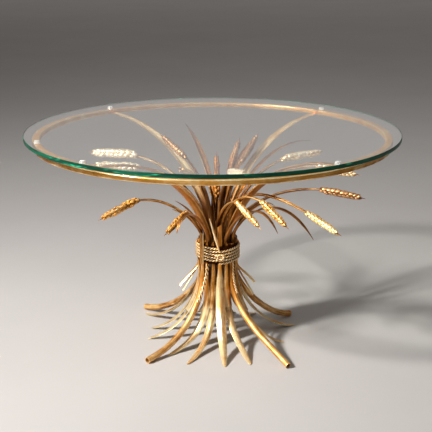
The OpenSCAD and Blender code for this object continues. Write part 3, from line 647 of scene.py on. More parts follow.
def butt_skin(name, reach, drop, inner, seed):
    """A narrow gutter on a cubic line that leaves the ring below the tie and ends in the air, paler there."""
    azimuth, _, top = FEET[name][:3]
    stand = from_axis(BUNDLE - NESTED_BACK * inner, SLOT[name])
    target = from_axis(reach, azimuth)
    run = math.dist(stand, target)
    line = Line(stand, target, [(0, TIE_LOW), (0, TIE_LOW - BUTT_STRAIGHT),
                                (run / 2, TIE_LOW - drop / 2 + BUTT_LIFT), (run, TIE_LOW - drop)],
                (0, WAIST_Z + top))
    s = np.linspace(0, line.length, 48)[:, None]
    f = line.share(s)
    half_w = (BUTT_W / 2 - NESTED_NARROW * inner) * (1 + 0.04 * ripple(f, seed))
    across, out = rolled(half_w, BUTT_THICK, BUTT_ROLL * (0.7 if inner else 1))
    across, out = turned(across, out, ring_turn(name, line) * (1 - f))
    return skin(line.carry(s, across, out), STRIP_WEAR + 0.6 * f, STRIP_HOLLOW)


butts = [butt_skin(*row, seed) for seed, row in enumerate(BUTTS, 41)]
piece("short_cut_butts", butts, gilt_stalk, ["short_butts"])

# %% [markdown]
# ## Tube legs
#
# The four legs are tubes with open, square-cut ends. A curve with a round bevel would have no wall. Here a
# skin closes on itself the other way round: its rings go down the outside, turn in at the cut, come back up
# the bore and meet the first ring again. The cut's edge is bright, and the undersides are brown, which is
# painted shade.

# %% Tube legs
LEG_TONES = {"leg_front_left": 0.15, "leg_front_right": 0.25, "leg_back_right": 0.45, "leg_back_left": 0.5}
LEG_RINGS = 90
# The bore needs fewer rings than the outside, and the saw left this much of the end bright
BORE_STEP, CUT_BRIGHT = 6, 2.5


def tube_skin(name, seed):
    """Rings on the line with radius times cosine and sine: the outside at every ring, the bore at each
    sixth. The middle of the cut stands so high that the lowest point of the cut just reaches the floor."""
    stand = from_axis(LEG_RING, SLOT[name])
    azimuth, reach, _, _, (_, heel_out, heel_up) = FEET[name]
    run = math.dist(stand, from_axis(reach, azimuth))
    last = np.array([run * (1 - heel_out), TIE_LOW * heel_up - LEG_D / 2])
    line = foot_line(name, stand, LEG_D / 2 * last[0] / np.linalg.norm(last))
    down = np.linspace(0, line.length, LEG_RINGS)[:, None]
    waves = ripple(down / line.length, seed)
    outside = LEG_D / 2 * (1 + 0.012 * waves * np.cos(2 * ROUND + seed))
    s = np.concatenate([down, down[::-BORE_STEP]])
    radius = np.concatenate([outside, outside[::-BORE_STEP] - LEG_WALL])
    inside = np.arange(len(s))[:, None] >= LEG_RINGS
    cut = np.clip((s - line.length + CUT_BRIGHT) / CUT_BRIGHT, 0, 1)
    blotches = 0.8 + 0.5 * np.tile(waves, (2, 1))[:len(s)]
    # Painted shade on the underside and one flank of each tube, uneven in blotches
    painted_underside_shade = np.clip(0.6 * COS - 0.7 * SIN - 0.15, 0, 1) * (1 - cut) * blotches
    hollow_and_shade = np.clip(0.6 * inside + LEG_TONES[name] * (1 - cut) + 0.7 * painted_underside_shade, 0, 1)
    return skin(line.carry(s, radius * COS, radius * SIN), 0.3 * cut * ~inside, hollow_and_shade, ring_closed=True)


for seed, name in enumerate(name for name in FEET if name.startswith("leg")):
    piece(name.replace("leg", "tube_leg"), [tube_skin(name, 60 + seed)], gilt_leg, [name])

# %% [markdown]
# ## Support blades
#
# Four broad blades leave the waist upright, bow outwards and come up under the ring. They are rolled strips
# like the stalks, only thicker and wider, and they are what really carries the glass. Cut from a plane and
# bent with a modifier they would lose their roll at the bend, and carried outlines keep it. The two at the
# back have a paler finish with a painted highlight along the ridge and painted shade along the edges, and
# the two in front are pale along the edges.

# %% Support blades
RING_D, RING_W, RING_T, RING_Z = 716.0, 15.0, 10.0, 422.0
RING_MID = (RING_D - RING_W) / 2
BUTT_D = 7.5
MIDDLE = LEG_RING - LEG_D / 2 - FIT_GAP - BUTT_D / 2
# Azimuth, width at the broadest, the bend (where it stops being upright, how far out and how high it leans,
# and where it levels off), and how strong the painted highlight along its ridge is
SUPPORTS = {
    "support_back_right": (48, 18.5, 40, 12, 105, 0.37, 0.5),
    "support_back_left": (130, 18.5, 40, 12, 105, 0.37, 0.9),
    "support_front_left": (232, 24, 25, 28, 88, 0.35, 0.0),
    "support_front_right": (313, 24, 25, 28, 88, 0.35, 0.0),
}


def support_skin(azimuth, belly, upright, out_to, up_to, level, pale, seed):
    """A rolled strip on a cubic line from the waist to the ring's middle. Width and roll are ramps over the
    share of the line, times one plus a ripple."""
    stand = from_axis(MIDDLE + BUTT_D / 2, azimuth)
    turn = math.radians(azimuth)
    target = np.array([RING_MID * math.cos(turn), RING_MID * math.sin(turn)])
    run = math.dist(stand, target)
    end_z = RING_Z - FIT_GAP
    line = Line(stand, target, [(0, WAIST_Z + upright), (out_to, WAIST_Z + up_to), (level * run, end_z),
                                (run, end_z)], (0, TIE_LOW))
    s = np.linspace(0, line.length, 96)[:, None]
    f = line.share(s)
    half_w = np.interp(f, [0, 0.2, 0.5, 1], [14, belly, belly, 13]) / 2 * (1 + 0.03 * ripple(f, seed))
    roll = np.interp(f, [0, 0.3, 1], [2.5, 4, 1.5]) * (1 + 0.06 * ripple(f, seed + 7))
    across, out = rolled(half_w, 2.4 - 0.4 * f, roll)
    # On the back blades, pale paints a highlight along the ridge and shade along the edges
    wear_and_highlight = STRIP_WEAR * 1.1 * (1 - pale) + pale * (1.5 - 1.2 * EDGEWARD)
    hollow_and_shade = STRIP_HOLLOW * (0.8 - 0.7 * pale) + 0.8 * pale * np.clip(EDGEWARD * 2.2 - 1.2, 0, 1)
    return skin(line.carry(s, across, out), wear_and_highlight, hollow_and_shade)


for seed, (name, row) in enumerate(SUPPORTS.items(), 70):
    finish = highlit_support if "back" in name else gilt_support
    piece(name.replace("support", "support_blade"), [support_skin(*row, seed)], finish, [name])

# %% [markdown]
# ## Ears of wheat
#
# An ear is a wire stem that ends in four rows of plump grains. Neighbouring rows are half a grain apart, so
# the rows lace into a zigzag from whichever side they are seen. Copies of one modelled grain would all be
# alike, so each grain is a drop from a formula: a ring of points whose radius follows a skewed sine, laid
# along the ear and tipped outwards. All grains of an ear are worked out at once, as one array [grain, ring,
# side]. The ears under the glass are pale, those at the back and one on the right are darker as painted
# shade, and most of the rest are gilt.

# %% Table of the ears
OUTER = BUNDLE - STALK_T - FIT_GAP - BUTT_D / 2
INNER = MIDDLE - BUTT_D - FIT_GAP
SUPPORT_DEPTH = 3.0
BEHIND_SUPPORT = MIDDLE - SUPPORT_DEPTH - FIT_GAP
BEHIND_SHEATH = OUTER - NESTED_BACK
EAR_LEN, STEM_W, STEM_END_W, STEM_T = 85.0, 9.0, 5.0, 2.6
# Radius and azimuth of its place in the waist; azimuth, reach and height of its tip; how far out and up its
# shoulder is, and how high it rises first. Then its finish, how pale its grains are (lower for the ears at
# the back, as painted shade), and how plump it is
EARS = {
    "ear_left_low": (BEHIND_SHEATH, SLOT["stalk_left_3"], 203, 255, 90, 100, 180, 19, gilt_ear, -0.3, 1.1),
    "ear_front_left_low": (MIDDLE, 192.9, 226, 152, 61, 92, 150, 22, gilt_ear, -0.6, 1.0),
    "ear_front_low": (MIDDLE, 257.3, 303, 155, 80, 41, 186, 22, gilt_ear, -0.1, 1.0),
    "ear_front_right_low": (MIDDLE, 281.5, 306, 227, 97, 58, 202, 38, gilt_ear, -0.1, 1.0),
    "ear_right_low": (MIDDLE, 338.4, 320, 303, 87, 113, 155, 127, gilt_ear, 0.3, 1.0),
    "ear_right_mid": (MIDDLE, 0.5, 338, 308, 138, 92, 180, 30, shaded_ear, -0.1, 1.1),
    "ear_left_high": (MIDDLE, 155.5, 164, 280, 181, 48, 210, 28, pale_ear, 0.7, 1.45),
    "ear_left_mid": (MIDDLE, 174.2, 186, 254, 179, 69, 179, 92, pale_ear, 0.6, 1.2),
    "ear_front_left_high": (BEHIND_SUPPORT, 232, 233, 130, 191, 38, 195, 85, pale_ear, 0.4, 1.0),
    "ear_front_right_high": (INNER, 278, 291, 150, 190, 45, 205, 105, pale_ear, 0.4, 1.0),
    "ear_back_left_high": (BEHIND_SUPPORT, 130, 135, 172, 210, 58, 180, 85, shaded_ear, -0.3, 1.0),
    "ear_back_high": (INNER, 91, 93, 45, 190, 13, 150, 60, shaded_ear, -0.3, 1.0),
    "ear_back_right_high": (MIDDLE, 73, 63, 105, 211, 37, 165, 60, shaded_ear, -0.3, 1.0),
    "ear_back_right_upright": (BEHIND_SUPPORT, 48, 54, 150, 213, 55, 165, 85, shaded_ear, -0.3, 1.0),
    "ear_right_high": (MIDDLE, 19.8, 17, 234, 185, 31, 193, 22, pale_ear, 0.3, 1.2),
    "ear_right_upper": (INNER, 355.5, 352, 288, 166, 98, 209, 68, pale_ear, -0.1, 1.0),
    "ear_back_low": (OUTER, SLOT["stalk_back_4"], 95, 150, 105, 70, 150, 40, gilt_ear, -0.1, 1.0),
}


def grown_line(ring, slot, azimuth, reach, tip, out, up, lift, straight_end=0.0):
    """The line of an ear or leaf: straight up through the tie, then a cubic over its shoulder to its tip."""
    stand, target = from_axis(ring, slot), from_axis(reach, azimuth)
    run = math.dist(stand, target)
    return Line(stand, target, [(0, TIE_TOP), (0, TIE_TOP + lift), (out, WAIST_Z + up), (run, WAIST_Z + tip)],
                (0, TIE_LOW), straight_end)

# %% Grains of an ear
GRAIN_LEN, GRAIN_THICK, GRAIN_OUT = 14.5, 4.3, 1.5
ROWS, PER_ROW = 4, 9
GRAIN_RINGS = GRAIN_SIDES = 12
# The grains are rooted on the ear up to this far from its tip
LAST_ROOT = 14.0


def round_grid(sides):
    """Angles round a small ring of that many sides."""
    return -2 * np.pi * np.arange(sides) / sides


def grain_skins(line, start, seed, pale, plump):
    """Grains on the line from start on. u runs along a grain and v round it: along = cos(tip) u length -
    sin(tip) r cos v, away = sin(tip) u length + cos(tip) r cos v, and r is thick times a skewed sine of
    u."""
    rng = np.random.default_rng(seed)
    rows = np.repeat(np.arange(ROWS), PER_ROW)
    share = (np.tile(np.arange(PER_ROW), ROWS) + 0.5 * (rows % 2)) / PER_ROW
    order = np.argsort(share)
    rows, share = rows[order, None, None], share[order, None, None]
    swell = np.interp(share, [0, 0.12, 0.4, 0.75, 1], [0.72, 0.95, 1.0, 0.88, 0.58])
    swell *= 1 + 0.06 * rng.uniform(-1, 1, rows.shape)
    tip = np.radians(19 + 6 * rng.uniform(-1, 1, rows.shape))
    angle = np.radians(45 + 90 * rows + 7 * rng.uniform(-1, 1, rows.shape))
    u = np.linspace(0, 1, GRAIN_RINGS)[:, None]
    v = round_grid(GRAIN_SIDES)
    shape = np.sin(np.pi * u ** 0.72) ** 0.75
    shape[0], shape[-1] = 0.05, 0.03
    crease = 1 - 0.20 * np.exp(-((np.cos(v) - 1) ** 2) * 60)
    reach = GRAIN_LEN * plump * swell * u
    radius = GRAIN_THICK * plump * swell * shape
    along = np.cos(tip) * reach - np.sin(tip) * radius * np.cos(v)
    away = GRAIN_OUT * swell + np.sin(tip) * reach + np.cos(tip) * radius * np.cos(v) * crease
    beside = 1.05 * radius * np.sin(v)
    s = start + share * (line.length - start - LAST_ROOT) + along
    points = line.carry(s, np.cos(angle) * away - np.sin(angle) * beside,
                        np.sin(angle) * away + np.cos(angle) * beside)
    # Pale on the back of each grain, brown at its root and between the rows
    wear_and_highlight = np.clip(0.15 + pale + 0.95 * np.sin(np.pi * u) * np.clip(np.cos(v), 0, 1), 0, 1)
    hollow_and_shade = np.clip(1.15 - 0.8 * pale - 2.5 * u + 0.6 * (np.cos(v) < 0.1), 0, 1)
    return [skin(grain, wear_and_highlight, hollow_and_shade) for grain in points]

# %% Stems and ears
STEM_RINGS, AWN_RINGS, AWN_SIDES = 80, 40, 10
# The rib starts this far before the grains do, and the stem ends this far past their start
AWN_BACK, STEM_PAST = 2, 1.0
# How far before the straight end of its line an ear starts, and how much more for one twice as plump
EAR_EARLY, PLUMP_EARLY = 6.0, 40.0


def stem_skin(line, end, seed):
    """A stem is round where it is tied, and a rolled strip that narrows on its way out: out = thickness
    times a flattened sine, with a bell-shaped groove along its back, plus roll (0.4 - |cos a|^1.7)."""
    s = np.linspace(0, end, STEM_RINGS)[:, None]
    f = line.share(s, end)
    half_w = np.interp(f, [0, 0.5, 1], [BUTT_D, STEM_W, STEM_END_W]) / 2 * (1 + 0.03 * ripple(f, seed))
    half_t = np.interp(f, [0, 0.4, 1], [BUTT_D, STEM_T, STEM_T]) / 2
    groove = 0.55 * np.exp(-(COS * 2.6) ** 2) * (SIN > 0) * np.interp(f, [0.05, 0.3], [0, 1])
    roll = np.interp(f, [0.05, 0.3, 0.8, 1], [0, 4.2, 3.8, 2.2])
    out = half_t * np.sign(SIN) * np.abs(SIN) ** 0.6 * (1 - groove) + roll * (0.4 - EDGEWARD ** 1.7)
    wear_and_highlight = 0.6 * np.clip((EDGEWARD - 0.72) * 4, 0, 1) * (SIN > -0.3) + 0.1 * f
    hollow_and_shade = np.clip(0.45 + 1.3 * groove + 0.7 * (SIN < -0.1), 0, 1)
    return skin(line.carry(s, half_w * COS, out), wear_and_highlight, hollow_and_shade)


def awn_skin(line, start):
    """The rib that the grains sit on, which runs out past them as a small dry point: rings of a radius that
    swells and then fades."""
    s = np.linspace(start - AWN_BACK, line.length, AWN_RINGS)[:, None]
    f = (s - s[0]) / (s[-1] - s[0])
    radius = np.interp(f, [0, 0.1, 0.85, 1], [1.8, 2.6, 1.6, 0.25])
    v = round_grid(AWN_SIDES)
    return skin(line.carry(s, radius * np.cos(v), radius * np.sin(v)), 0.2, 0.7)


for seed, (name, (*row, finish, pale, plump)) in enumerate(EARS.items()):
    line = grown_line(*row, EAR_LEN)
    start = line.bend_end - EAR_EARLY - PLUMP_EARLY * (plump - 1.0)
    skins = [stem_skin(line, start + STEM_PAST, 100 + seed), awn_skin(line, start)]
    skins += grain_skins(line, start, 200 + seed, pale, plump)
    piece(name.replace("ear", "wheat_ear"), skins, finish, [name], crease=60)

# %% [markdown]
# ## Leaves
#
# A leaf grows from a round butt into a blade that is folded along its middle and narrows to a point.
# Folding a flat mesh by hand leaves a hard kink at the butt. Here the fold is the absolute value of the
# cosine and grows from nothing, and a few fine ribs beside it are a faster cosine laid over the blade.

# %% Leaves
LEAF_W, LEAF_T, LEAF_FOLD, LEAF_RINGS = 14.0, 1.8, 2.5, 90
# Place in the waist, tip, shoulder and rise, as for the ears
LEAVES = {
    "leaf_front_left": (OUTER, SLOT["stalk_front_1"], 240, 158, 75, 95, 151, 20),
    "leaf_front_right": (BEHIND_SHEATH, SLOT["stalk_front_4"], 311, 176, 73, 80, 162, 6),
    "leaf_right_front": (BEHIND_SHEATH, SLOT["stalk_right_1"], 328, 220, 55, 94, 172, 20),
    "leaf_right": (BEHIND_SHEATH, SLOT["butts_right"], 5, 118, 88, 60, 116, 22),
    "leaf_left": (BEHIND_SHEATH, SLOT["butts_left"], 197, 90, 110, 28, 90, 25),
    "leaf_left_back": (OUTER, SLOT["stalk_left_2"], 155, 105, 72, 40, 65, 25),
    "leaf_back_left_tall": (MIDDLE, 91, 109, 215, 216, 75, 184, 69),
    "leaf_back_tall": (OUTER, SLOT["stalk_back_3"], 68, 185, 180, 75, 150, 50),
    "leaf_right_curved": (INNER, 22.5, 28, 224, 198, 103, 220, 60),
}


def leaf_skin(row, seed):
    """across = half_w cos a; out = half_t sin a - fold |cos a| + ribs, a faster cosine; then a slow twist."""
    line = grown_line(*row)
    s = np.linspace(0, line.length, LEAF_RINGS)[:, None]
    f = line.share(s)
    half_w = np.interp(f, [0, 0.25, 0.6, 0.85, 1], [BUTT_D / 2, LEAF_W * 0.36, LEAF_W / 2, LEAF_W * 0.3, 0.5])
    half_w *= 1 + 0.04 * ripple(f, seed)
    half_t = np.interp(f, [0, 0.25, 0.5, 1], [BUTT_D / 2, LEAF_T * 0.8, LEAF_T * 0.45, LEAF_T / 4])
    fold = np.interp(f, [0, 0.3, 0.7, 1], [0, LEAF_FOLD, LEAF_FOLD, 0.3])
    ribs = 0.12 * np.cos(6 * np.pi * COS) * np.interp(f, [0.2, 0.5, 0.95], [0, 1, 0])
    out = half_t * SIN - fold * EDGEWARD + ribs
    across, out = turned(half_w * COS, out, 7 * ripple(f, seed + 20, (0.6, 1.4)) * f)
    # The edges and the fold's back are rubbed, and the underside and the valleys beside the fold are brown
    wear_and_highlight = np.clip((EDGEWARD - 0.82) * 5, 0, 1) + 4 * np.clip(0.18 - EDGEWARD, 0, 1) * (SIN > 0)
    hollow_and_shade = 0.5 * (SIN < -0.2) + 0.35 * np.exp(-((EDGEWARD - 0.5) ** 2) * 20)
    return skin(line.carry(s, across, out), wear_and_highlight, hollow_and_shade)


for seed, (name, row) in enumerate(LEAVES.items(), 300):
    piece(name.replace("leaf", "creased_leaf"), [leaf_skin(row, seed)], gilt_leaf, [name],
          crease=50)

# %% [markdown]
# ## Twine
#
# The twine is two gilt wires twisted together. A bump texture could fake the lay, but its outline would
# stay smooth. A real strand runs round the twine's own line in a helix, so it needs two directions square
# to that line at every point: a cross product with one fixed direction gives the first, and a second cross
# product gives the other. The same function twists the turns, the knot and the tails. The knot pulls the
# turns down a little in front.

# %% Twisted wires
TWINE_D, TWINE_PITCH, TWINE_TURNS = 4.0, 6.4, 5
# The twisted wires swell past the plain round solid by this much
TURN_SWELL, KNOT_SWELL = 0.8, 0.5
STRANDS, STRAND_SIDES = 2, 8
# Radius of a strand and how far its line is from the twine's own, as shares of the twine's thickness
STRAND_R, STRAND_OFF = 0.262, 0.238
TWINE_STEP = 1.3
LAY, TAIL_LAY = 13.0, 20.0
COIL = BUNDLE + FIT_GAP + TWINE_D / 2
KNOT_AZIMUTH = 274
UP, BACK = (0.0, 0.0, 1.0), (0.0, 1.0, 0.0)


def even_points(path, step):
    """The path walked again in equal steps."""
    run = lengths_along(path)
    s = np.linspace(0, run[-1], max(8, int(run[-1] / step)))
    return np.stack([np.interp(s, run, column) for column in path.T], -1), s


def square_to(path, aside):
    """Two unit directions square to the path: its heading crossed with aside, and that crossed with it."""
    heading = unit(np.gradient(path, axis=0))
    across = unit(np.cross(heading, aside))
    return across, np.cross(across, heading)


def round_path(path, aside, radius, sides, turn=0.0, off=0.0):
    """Rings of a round wire whose line goes round the path at a distance off, by the angle turn."""
    across, up = square_to(path, aside)
    turn = np.broadcast_to(turn, len(path))[:, None]
    core = path + off * (across * np.cos(turn) + up * np.sin(turn))
    across, up = square_to(core, aside)
    v = (2 * np.pi * np.arange(sides) / sides)[:, None]
    radius = np.broadcast_to(radius, len(path))[:, None, None]
    return core[:, None] + radius * (across[:, None] * np.cos(v) + up[:, None] * np.sin(v))


def twisted(path, aside, thick, lay=LAY, bright=0.0):
    """Two strands, each about half as thick, wound round the path once in every lay. A strand is rubbed
    where it faces outwards, which is where the angle round it equals the angle round the path."""
    path, s = even_points(path, TWINE_STEP)
    made = []
    for k in range(STRANDS):
        turn = 2 * np.pi * (s / lay + k / STRANDS)
        points = round_path(path, aside, thick * STRAND_R, STRAND_SIDES, turn, thick * STRAND_OFF)
        facing = np.cos(2 * np.pi * np.arange(STRAND_SIDES) / STRAND_SIDES - turn[:, None])
        wear_and_highlight = np.clip(facing * 1.6 - 0.1 + bright, 0, 1)
        made.append(skin(points, wear_and_highlight, np.clip(0.62 - bright - facing * 1.4, 0, 1)))
    return made


# The turns lie this much above the middle of the tie, and the knot pulls them down by this much, over
# this many degrees to each side
TURNS_UP, KNOT_PULL, PULL_WIDTH = 1.0, 3.4, 48
turns = np.linspace(0, TWINE_TURNS, 900)
azimuths = np.radians(KNOT_AZIMUTH + 360 * turns)
from_knot = (360 * turns + 180) % 360 - 180
dip = TURNS_UP - KNOT_PULL * np.exp(-(from_knot / PULL_WIDTH) ** 2)
coil = np.stack([SHEAF_X + COIL * np.cos(azimuths), COIL * np.sin(azimuths),
                 WAIST_Z + TWINE_PITCH * (turns - TWINE_TURNS / 2) + dip], -1)
print("length of the turns:", round(lengths_along(coil)[-1]), "mm")
piece("twisted_twine", twisted(coil, UP, TWINE_D + TURN_SWELL), gilt_twine, ["binding_twine"],
      crease=60)

# %% [markdown]
# ## Knot and tails
#
# In front of the turns sits an overhand knot, and two tails run down from them. A knot drawn by eye cuts
# through itself. An overhand knot is a trefoil line that is left open below, which a sum of sines draws
# without a touch. The left tail, where both ends are laid together, follows a cubic, and the right one lies
# on the front leg.

# %% Overhand knot
KNOT_S, KNOT_SPREAD, KNOT_DEPTH, KNOT_OPEN, KNOT_DROP = 2.4, 2.5, 3.5, 35, 4

t = np.radians(np.linspace(180 + KNOT_OPEN, 540 - KNOT_OPEN, 200))
beside = KNOT_S * (np.sin(t) + KNOT_SPREAD * np.sin(2 * t))
before = -KNOT_DEPTH * np.sin(3 * t) - (COIL + TWINE_D + FIT_GAP + KNOT_DEPTH)
turn = math.radians(KNOT_AZIMUTH + 90)
knot = np.stack([SHEAF_X + beside * math.cos(turn) - before * math.sin(turn),
                 beside * math.sin(turn) + before * math.cos(turn),
                 WAIST_Z - KNOT_DROP + KNOT_S * (np.cos(t) - KNOT_SPREAD * np.cos(2 * t))], -1)
piece("overhand_knot", twisted(knot, BACK, TWINE_D + KNOT_SWELL, bright=0.5), gilt_twine, ["twine_knot"],
      crease=60)

# %% Tails
LEFT_TAIL_D = 6.4
TAIL_TOP = WAIST_Z - TWINE_PITCH * TWINE_TURNS / 2 - TWINE_D
# How far off the bundle, at which azimuth and how far down the left tail goes
LEFT_TAIL = ((1, 243, 1), (1.8, 243, 26), (5.9, 236, 52), (14.9, 228, 82))
RIGHT_TAIL_SHARE = 0.24

left_points = [np.append(from_axis(BUNDLE + LEFT_TAIL_D / 2 + off, azimuth), TAIL_TOP - drop)
               for off, azimuth, drop in LEFT_TAIL]
left_tail = cubic(left_points, np.linspace(0, 1, 80))
leg_line = foot_line("leg_front_right", from_axis(LEG_RING, SLOT["leg_front_right"]), 2.0)
first = WAIST_Z + FEET["leg_front_right"][2] - TAIL_TOP
last = leg_line.lead + (leg_line.length - leg_line.lead) * RIGHT_TAIL_SHARE
over = (LEG_D + TWINE_D) / 2 + FIT_GAP
right_tail = leg_line.carry(np.linspace(first, last, 60), 0.0, over)
tails = (twisted(left_tail, BACK, LEFT_TAIL_D + TURN_SWELL, TAIL_LAY)
         + twisted(right_tail, BACK, TWINE_D + KNOT_SWELL, bright=0.4))
piece("twisted_tails", tails, gilt_twine, ["twine_tails"], crease=60)

# %% [markdown]
# ## Straws over the twine
#
# Two loose pieces lie over the turns: a slim round straw that runs up from the knot, and a flat strip with
# a raised edge. Primitives would look machined, so the straw is a tube whose radius swells in the middle,
# and the strip is the stalks' outline, made shallow, with one edge that stands up as a bright rib.

# %% Straw and strip
STRAW_AZIMUTH, STRIP_AZIMUTH = 250, 226
# How far off the turns the straw lies, and the heights of its ends over the waist
STRAW_OFF, STRAW_LOW, STRAW_HIGH = 1.6, 9, 78
TIE_STRIP_W, TIE_STRIP_T, TIE_STRIP_ROLL = 11.0, 1.2, 0.7
# How far off the turns the strip lies, how high its rib stands, how far below the waist it starts and how
# long it is
STRIP_OFF, RIB_H, STRIP_LOW, STRIP_LEN = 1.8, 0.7, 22, 66
over = COIL + TWINE_D / 2 + FIT_GAP

low = np.append(from_axis(over + STRAW_OFF, KNOT_AZIMUTH), WAIST_Z + STRAW_LOW)
high = np.append(from_axis(over + STRAW_OFF, STRAW_AZIMUTH), WAIST_Z + STRAW_HIGH)
share = np.linspace(0, 1, 40)
straw_radius = np.interp(share, [0, 0.1, 0.35, 0.7, 1], [1.5, 1.9, 2.8, 2.1, 0.9])
straw = skin(round_path(low + share[:, None] * (high - low), (1.0, 0.0, 0.0), straw_radius, 16), 0.8, 0.0)

centre = from_axis(over, STRIP_AZIMUTH)
away = unit(centre - from_axis(0, STRIP_AZIMUTH))
f = share[:, None]
# Its ends are a little narrower
half_w = TIE_STRIP_W / 2 * (1 - 0.12 * np.abs(2 * f - 1) ** 6)
across, out = rolled(half_w, TIE_STRIP_T, TIE_STRIP_ROLL)
rib = np.clip((COS - 0.72) * 4, 0, 1)
out = out + STRIP_OFF - 0.1 * ripple(f, 400) + RIB_H * rib * (SIN > 0)
strip = np.stack([centre[0] + away[0] * out - away[1] * across, centre[1] + away[1] * out + away[0] * across,
                  np.broadcast_to(WAIST_Z - STRIP_LOW + STRIP_LEN * f, out.shape)], -1)
piece("straws_over_twine", [straw, skin(strip, 1.2 * rib, 0.9 * (1 - rib))], gilt_twine, ["tie_straws"])

# %% [markdown]
# ## Ring
#
# The ring is a flat bar bent to a circle with softened edges. A torus has a round section, and a Screw
# modifier has to be merged at its seam. Spinning the bar's outline round the axis gives the skin, and the
# spin closes on itself, so the skin is closed as a ring and needs no ends.

# %% Ring
def spun(outline, count, centre=(0.0, 0.0)):
    """Outline [sides, (radius, height)] carried round the upright axis in count steps."""
    a = (2 * np.pi * np.arange(count) / count)[:, None]
    r, z = outline.T
    return np.stack([centre[0] + r * np.cos(a), centre[1] + r * np.sin(a),
                     np.broadcast_to(z, (count, len(z)))], -1)


def rounded_outline(width, height, radius, steps=5):
    """A box outline with round corners, middle at zero width, underside at zero height: a quarter turn of
    radius round each corner's own centre."""
    corner = np.linspace(0, np.pi / 2, steps)
    x, top = width / 2 - radius, height - radius
    sides = []
    for quarter, centre in enumerate(((x, top), (-x, top), (-x, radius), (x, radius))):
        a = corner + quarter * np.pi / 2
        sides.append(centre + radius * np.stack([np.cos(a), np.sin(a)], -1))
    return np.concatenate(sides)


RING_STEPS, RING_EDGE_R = 360, 2.0
bar = rounded_outline(RING_W, RING_T, RING_EDGE_R) + [RING_MID, RING_Z]
edges = np.tile([0.2, 0.8, 1.0, 0.8, 0.2], 4)
# Painted shade: the lower corners of the bar are browner, uneven in blotches
below = np.repeat([0.0, 0.0, 0.7, 0.7], 5)
blotches = 0.45 + 0.45 * ripple(np.linspace(0, 1, RING_STEPS), 500, (3.0, 7.0, 12.0))[:, None]
ring_skin = skin(spun(bar, RING_STEPS), edges, np.clip(below * blotches * 1.5, 0, 1), ring_closed=True)
piece("gilt_flat_ring", [ring_skin], gilt_ring, ["top_ring"], crease=60)

# %% [markdown]
# ## Pads
#
# Five clear pads keep the glass off the gilding. Each is a low turned button of clear plastic, so it is
# spun from an outline as the ring is. A glass shader alone throws a dark shadow. For light on its way to
# another surface this finish is simply transparent, so that the floor under the glass stays pale and shows
# the sheaf's shadow.

# %% Clear pads
def clear(name, tint, roughness, ior, through_share):
    """Clear plastic or glass: a refracting shader, and a transparent one for shadow and diffuse rays."""
    f = Finish(name)
    shader = f.node("ShaderNodeBsdfPrincipled", {}, {
        "Base Color": tint, "Roughness": roughness, "IOR": ior, "Transmission Weight": through_share})
    passing = f.node("ShaderNodeBsdfTransparent", {}, {"Color": tint})
    ray = f.node("ShaderNodeLightPath")
    through = f.clamp(ray.out("Is Shadow Ray") + ray.out("Is Diffuse Ray"))
    return f.finish(f.node("ShaderNodeMixShader", {}, {0: through, 1: shader, 2: passing}))


pad_clear = clear("pad_clear", (0.93, 0.94, 0.93), 0.12, 1.45, 0.45)
# An outline that would start on its axis keeps this far off, because faces there would have no area
AT_AXIS = 0.05
PAD_H, PAD_Z = 6.0, RING_Z + RING_T
PAD_AZIMUTHS = (46, 131, 196, 229, 309)
pad_outline = np.array([(AT_AXIS, 0.0), (5.5, 0.0), (5.9, 0.3), (6.0, 0.8), (5.7, 5.0), (5.3, 5.7),
                        (4.8, PAD_H), (AT_AXIS, PAD_H)]) + [0, PAD_Z]
pads = [skin(spun(pad_outline, 32, (RING_MID * math.cos(a), RING_MID * math.sin(a))), ring_closed=True)
        for a in map(math.radians, PAD_AZIMUTHS)]
piece("clear_pads", pads, pad_clear, ["glass_pads"])

# %% [markdown]
# ## Glass
#
# The top is plain float glass with ground edges: clear through its faces, and green through its edge,
# because light that comes out there has crossed the whole sheet. An absorbing volume could show that, but a
# sheet of 8 mm needs many bounces for it, so the edge has a finish of its own: dark green with a few painted
# glints. The faces of the edge are picked by how far their middle is from the axis.

# %% Glass
GLASS_R, GLASS_T, GLASS_Z = 375.0, 8.0, PAD_Z + PAD_H
BEVEL, SOFT_IN, SOFT_UP = 1.0, 0.25, 0.45
glass_outline = np.array([(AT_AXIS, 0), (GLASS_R - BEVEL, 0), (GLASS_R - SOFT_IN, SOFT_UP),
                          (GLASS_R, BEVEL), (GLASS_R, GLASS_T - BEVEL),
                          (GLASS_R - SOFT_IN, GLASS_T - SOFT_UP), (GLASS_R - BEVEL, GLASS_T),
                          (AT_AXIS, GLASS_T)]) + [0, GLASS_Z]
glass_clear = clear("glass_clear", (0.97, 0.985, 0.975), 0.0, 1.5, 1.0)


def green_edge():
    """The ground edge: near black green, lighter green in streaks, and bright green in a few thin painted
    glints.
    """
    f = Finish("glass_green_edge")
    space = f.place()
    streak = f.noise(f.stretched(space, (9.0, 9.0, 60.0)), 1.0, 3.0)
    painted_glint = f.noise(f.stretched(space, (22.0, 22.0, 150.0)), 1.0, 2.0)
    colour = f.blend(f.above(streak, 0.46, 4.0), (0.001, 0.034, 0.018), (0.006, 0.13, 0.068))
    # Painted glints: rare bright green spots stand in for light caught in the edge
    colour = f.blend(f.above(painted_glint, 0.60, 9.0), colour, (0.03, 0.52, 0.27))
    return f.coated(Base_Color=colour, Roughness=0.3, IOR=1.45, Specular_IOR_Level=0.3)


glass = piece("loose_round_glass", [skin(spun(glass_outline, 360), ring_closed=True)], glass_clear,
              ["glass_top"], body="glass", crease=20)
glass.data.materials.append(green_edge())
centres = np.empty(len(glass.data.polygons) * 3)
glass.data.polygons.foreach_get("center", centres)
rim = np.linalg.norm(centres.reshape(-1, 3)[:, :2], axis=1) > (GLASS_R - BEVEL * 0.98) * MM
glass.data.polygons.foreach_set("material_index", rim.astype(int))
print("faces with the green edge:", rim.sum())

